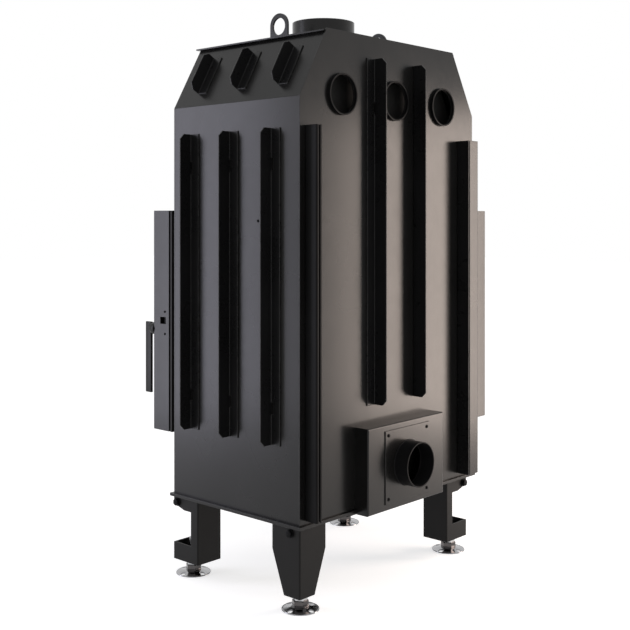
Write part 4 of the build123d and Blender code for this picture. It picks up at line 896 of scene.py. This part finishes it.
class FIREPLACE_OT_make_latch_screws(bpy.types.Operator):
    """Make the button-head screws on the door's end face"""

    bl_idname = "fireplace.make_latch_screws"
    bl_label = "Latch Screws"

    def execute(self, context):
        sizes = context.scene.insert_fasteners
        radius = sizes.button_radius
        top = sizes.button_height
        shank = 0.0020
        end = -0.0060
        line = [
            (0.0, end),
            (shank, end),
            (shank, 0.0),
            (radius, 0.0),
            (radius, 0.20 * top),
            (0.93 * radius, 0.50 * top),
            (0.78 * radius, 0.80 * top),
            (0.55 * radius, top),
            (0.0, top),
        ]
        screw = turned(line, 40)
        socket = prism(2 * sizes.socket_radius, top)
        socket.location.z = 0.4 * top
        settle()
        cut(screw, socket)
        low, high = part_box("latch_screws")
        y = (low.y + high.y) / 2
        for name, z in (("lower", low.z + radius), ("upper", high.z - radius)):
            piece = copy_at(screw, (high.x - top, y, z), TO_RIGHT)
            fit(piece, "latch_screw_" + name, "door", "black_fastener", "blackened_steel", "latch_screws")
        scrap(screw)
        return {"FINISHED"}


def weld_ring(radius, sizes, place, turn=(0.0, 0.0, 0.0)):
    """Rippled weld bead round a pipe, half sunk into the corner that it fills."""
    around = round(2 * pi * radius / sizes.bead_pitch) * RIPPLE_STEPS
    unpick()
    bpy.ops.mesh.primitive_torus_add(
        major_radius=radius, minor_radius=sizes.bead_radius, major_segments=around, minor_segments=BEAD_SIDES
    )
    ring = bpy.context.object
    bpy.ops.object.mode_set(mode="EDIT")
    bpy.ops.mesh.select_all(action="DESELECT")
    bpy.ops.object.mode_set(mode="OBJECT")
    for vertex in ring.data.vertices:
        vertex.select = vertex.index // BEAD_SIDES % RIPPLE_STEPS == 0
    bpy.ops.object.mode_set(mode="EDIT")
    bpy.ops.transform.shrink_fatten(value=-sizes.bead_ripple * sizes.bead_radius)
    bpy.ops.object.mode_set(mode="OBJECT")
    return put(ring, place, turn)


class FIREPLACE_OT_lay_welds(bpy.types.Operator):
    """Lay the weld beads round the flue collar and the air pipe"""

    bl_idname = "fireplace.lay_welds"
    bl_label = "Weld Beads"

    def execute(self, context):
        sizes = context.scene.insert_fasteners
        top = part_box("top_plate")[1].z
        flue_low, flue_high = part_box("flue_collar")
        flue = middle("flue_collar")
        ring = weld_ring((flue_high.x - flue_low.x) / 2, sizes, (flue.x, flue.y, top))
        fit(ring, "flue_weld", "casing", "stove_black", "casing_paint")
        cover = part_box("air_box_cover")[1].y
        pipe_low, pipe_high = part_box("air_pipe")
        pipe = middle("air_pipe")
        ring = weld_ring((pipe_high.x - pipe_low.x) / 2, sizes, (pipe.x, cover, pipe.z), TO_BACK)
        fit(ring, "pipe_weld", "casing", "stove_black", "dull_paint")
        return {"FINISHED"}


# Door

class FIREPLACE_OT_forge_handle(bpy.types.Operator):
    """Make the door handle: bar with rounded edges, neck and boss"""

    bl_idname = "fireplace.forge_handle"
    bl_label = "Door Handle"

    def execute(self, context):
        door = context.scene.insert_door
        low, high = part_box("handle")
        x = (low.x + high.x) / 2
        z = high.z - door.boss_radius
        grip = bar(
            (x - door.bar_width / 2, low.y, low.z),
            (x + door.bar_width / 2, low.y + door.bar_depth, high.z),
        )
        round_edges(grip, door.bar_edge, 4, 30.0)
        fit(grip, "handle_bar", "handle", "handle_black", "handle_enamel", "handle")
        boss = door.boss_length
        outer = door.boss_radius
        neck = high.y - low.y - door.bar_depth
        line = [
            (0.0, 0.0),
            (outer - 0.0012, 0.0),
            (outer - 0.0003, 0.0004),
            (outer, 0.0012),
            (outer, boss - 0.0018),
            (outer - 0.0006, boss - 0.0006),
            (outer - 0.0020, boss),
            (door.neck_radius + 0.0010, boss),
            (door.neck_radius, boss + 0.0008),
            (door.neck_radius, neck + 0.0010),
            (0.0, neck + 0.0010),
        ]
        piece = put(turned(line, 72), (x, high.y, z), (pi / 2, 0.0, 0.0))
        fit(piece, "handle_boss", "handle", "handle_black", "handle_enamel", "handle")
        return {"FINISHED"}


class FIREPLACE_OT_lay_seal(bpy.types.Operator):
    """Lay the woven rope between door and surround"""

    bl_idname = "fireplace.lay_seal"
    bl_label = "Door Seal"

    def execute(self, context):
        fire = context.scene.insert_fire
        rope = copy_of_part("door_gasket")
        round_edges(rope, fire.rope_edge, 3, 30.0)
        fit(rope, "woven_door_seal", "door", "gasket_rope", "seal_rope", "door_gasket")
        return {"FINISHED"}


class FIREPLACE_OT_turn_air_slide(bpy.types.Operator):
    """Turn the air slide's grooved knob and rod, and its pin"""

    bl_idname = "fireplace.turn_air_slide"
    bl_label = "Air Slide"

    def execute(self, context):
        door = context.scene.insert_door
        low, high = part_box("air_slide")
        x = (low.x + high.x) / 2
        z = low.z + door.knob_radius
        knob = door.knob_radius
        groove = door.knob_groove
        line = [(0.0, 0.0), (0.62 * knob, 0.0), (0.86 * knob, 0.0008), (0.97 * knob, 0.0022), (knob, 0.0040)]
        grooves = 4
        first_groove = 0.0075
        groove_pitch = 0.0035
        for step in range(grooves):
            start = first_groove + step * groove_pitch
            line += [(knob, start), (knob - groove, start + 0.0005)]
            line += [(knob - groove, start + 0.0012), (knob, start + 0.0017)]
        line += [
            (knob, door.knob_length - 0.0020),
            (0.9 * knob, door.knob_length - 0.0005),
            (0.75 * knob, door.knob_length),
            (door.rod_radius, door.knob_length),
            (door.rod_radius, high.y - low.y - 0.0005),
            (door.rod_radius - 0.0005, high.y - low.y),
            (0.0, high.y - low.y),
        ]
        piece = put(turned(line, 64), (x, low.y, z), TO_BACK)
        fit(piece, "air_knob_and_rod", "air_slide", "plain_steel", "blackened_steel", "air_slide")
        pin = door.pin_radius
        line = [(0.0, 0.0), (pin, 0.0), (pin, door.pin_height - 0.0006), (pin - 0.0006, door.pin_height)]
        piece = put(turned([*line, (0.0, door.pin_height)], 32), (x, high.y - pin, z))
        fit(piece, "air_slide_pin", "air_slide", "plain_steel", "rolled_steel", "air_slide")
        return {"FINISHED"}


# Firebox

class FIREPLACE_OT_press_linings(bpy.types.Operator):
    """Soften the edges of the lining boards and the baffle"""

    bl_idname = "fireplace.press_linings"
    bl_label = "Lining Boards"

    def execute(self, context):
        fire = context.scene.insert_fire
        for part in ("side_lining", "back_lining", "floor_lining", "baffle"):
            board = copy_of_part(part)
            round_edges(board, fire.board_edge, 3, 30.0)
            fit(board, part + "_boards", "casing", "lining_board", "vermiculite_board", part)
        return {"FINISHED"}


class FIREPLACE_OT_cast_grate(bpy.types.Operator):
    """Soften the edges of the cast grate and the log guard"""

    bl_idname = "fireplace.cast_grate"
    bl_label = "Grate and Log Guard"

    def execute(self, context):
        fire = context.scene.insert_fire
        for part in ("grate", "log_guard"):
            iron = copy_of_part(part)
            round_edges(iron, fire.iron_edge, 2, 30.0)
            fit(iron, part + "_casting", "casing", "cast_grate", "cast_iron", part)
        return {"FINISHED"}


# Stage

def for_the_eye(tree):
    """1 for rays that see the background straight, mirrored or through glass, and 0 for all other light."""
    ray = add(tree, "ShaderNodeLightPath").outputs
    straight = combined(tree, "MAXIMUM", ray["Is Camera Ray"], ray["Is Glossy Ray"])
    return combined(tree, "MAXIMUM", straight, ray["Is Transmission Ray"])


def soft_box(name, rgb, strength, place, target, wide, high):
    """Rectangular lamp that faces its target and isn't seen itself."""
    place = Vector(place)
    bpy.ops.object.light_add(type="AREA", location=place)
    box = bpy.context.object
    box.name = name
    box.rotation_euler = (Vector(target) - place).to_track_quat("-Z", "Y").to_euler()
    box.visible_camera = False
    box.data.shape = "RECTANGLE"
    box.data.size = wide
    box.data.size_y = high
    box.data.color = rgb
    box.data.energy = strength * pi * wide * high


class FIREPLACE_OT_set_stage(bpy.types.Operator):
    """Set the pale floor, the bright surroundings, two soft boxes and the camera"""

    bl_idname = "fireplace.set_stage"
    bl_label = "Stage"

    def execute(self, context):
        stage = context.scene.insert_stage
        tree = new_finish("pale_floor")
        cloth = add(tree, "ShaderNodeBsdfDiffuse", {"Color": opaque(stage.floor_color)})
        glow = add(tree, "ShaderNodeEmission", {"Strength": times(tree, for_the_eye(tree), stage.floor_glow)})
        both = add(tree, "ShaderNodeAddShader", {0: cloth.outputs[0], 1: glow.outputs[0]})
        add(tree, "ShaderNodeOutputMaterial", {"Surface": both.outputs[0]})
        bpy.data.materials["pale_floor"].cycles.emission_sampling = "NONE"
        unpick()
        bpy.ops.mesh.primitive_plane_add(size=stage.floor_size, location=(0.0, 0.0, -0.0005))
        floor = bpy.context.object
        floor.name = "studio_floor"
        floor.data.materials.append(bpy.data.materials["pale_floor"])

        world = bpy.data.worlds.new("studio")
        world.use_nodes = True
        world.node_tree.nodes.clear()
        tree = world.node_tree
        bright = spread(tree, for_the_eye(tree), stage.ambient, 1.0, 0.0, 1.0)
        sky = add(tree, "ShaderNodeBackground", {"Color": (1.0, 1.0, 1.0, 1.0), "Strength": bright})
        add(tree, "ShaderNodeOutputWorld", {"Surface": sky.outputs[0]})
        context.scene.world = world

        soft_box("cool_soft_box", stage.cool_color, stage.cool_strength, *COOL_LAMP)
        soft_box("warm_soft_box", stage.warm_color, stage.warm_strength, *WARM_LAMP)

        turn = (pi / 2, 0.0, radians(CAMERA_HEADING))
        bpy.ops.object.camera_add(location=CAMERA_PLACE, rotation=turn)
        camera = bpy.context.object
        camera.data.lens = stage.lens
        camera.data.shift_y = CAMERA_SHIFT
        context.scene.camera = camera
        context.scene.view_settings.view_transform = "Standard"
        return {"FINISHED"}


OPERATORS = [
    FIREPLACE_OT_mix_finishes,
    FIREPLACE_OT_press_pads,
    FIREPLACE_OT_cut_stems,
    FIREPLACE_OT_make_lock_nuts,
    FIREPLACE_OT_make_cover_screws,
    FIREPLACE_OT_make_leg_bolts,
    FIREPLACE_OT_make_latch_screws,
    FIREPLACE_OT_lay_welds,
    FIREPLACE_OT_forge_handle,
    FIREPLACE_OT_lay_seal,
    FIREPLACE_OT_turn_air_slide,
    FIREPLACE_OT_press_linings,
    FIREPLACE_OT_cast_grate,
    FIREPLACE_OT_set_stage,
]

SETTINGS = {
    "insert_paint": PaintSettings,
    "insert_metal": MetalSettings,
    "insert_fire": FireSettings,
    "insert_feet": FootSettings,
    "insert_fasteners": FastenerSettings,
    "insert_door": DoorSettings,
    "insert_stage": StageSettings,
}


class FIREPLACE_PT_insert(bpy.types.Panel):
    """Buttons for every piece, and the sizes and colours that they use"""

    bl_idname = "FIREPLACE_PT_insert"
    bl_label = "Fireplace Insert"
    bl_space_type = "VIEW_3D"
    bl_region_type = "UI"
    bl_category = "Insert"

    def draw(self, context):
        column = self.layout.column(align=True)
        for operator in OPERATORS:
            column.operator(operator.bl_idname)
        for holder, group in SETTINGS.items():
            box = self.layout.box()
            settings = getattr(context.scene, holder)
            for name in group.__annotations__:
                box.prop(settings, name)


def register():
    for holder, group in SETTINGS.items():
        bpy.utils.register_class(group)
        setattr(bpy.types.Scene, holder, bpy.props.PointerProperty(type=group))
    for operator in OPERATORS:
        bpy.utils.register_class(operator)
    bpy.utils.register_class(FIREPLACE_PT_insert)


def unregister():
    bpy.utils.unregister_class(FIREPLACE_PT_insert)
    for operator in reversed(OPERATORS):
        bpy.utils.unregister_class(operator)
    for holder, group in SETTINGS.items():
        delattr(bpy.types.Scene, holder)
        bpy.utils.unregister_class(group)


def main():
    register()
    for operator in OPERATORS:
        group, name = operator.bl_idname.split(".")
        getattr(getattr(bpy.ops, group), name)()


if __name__ == "__main__":
    main()
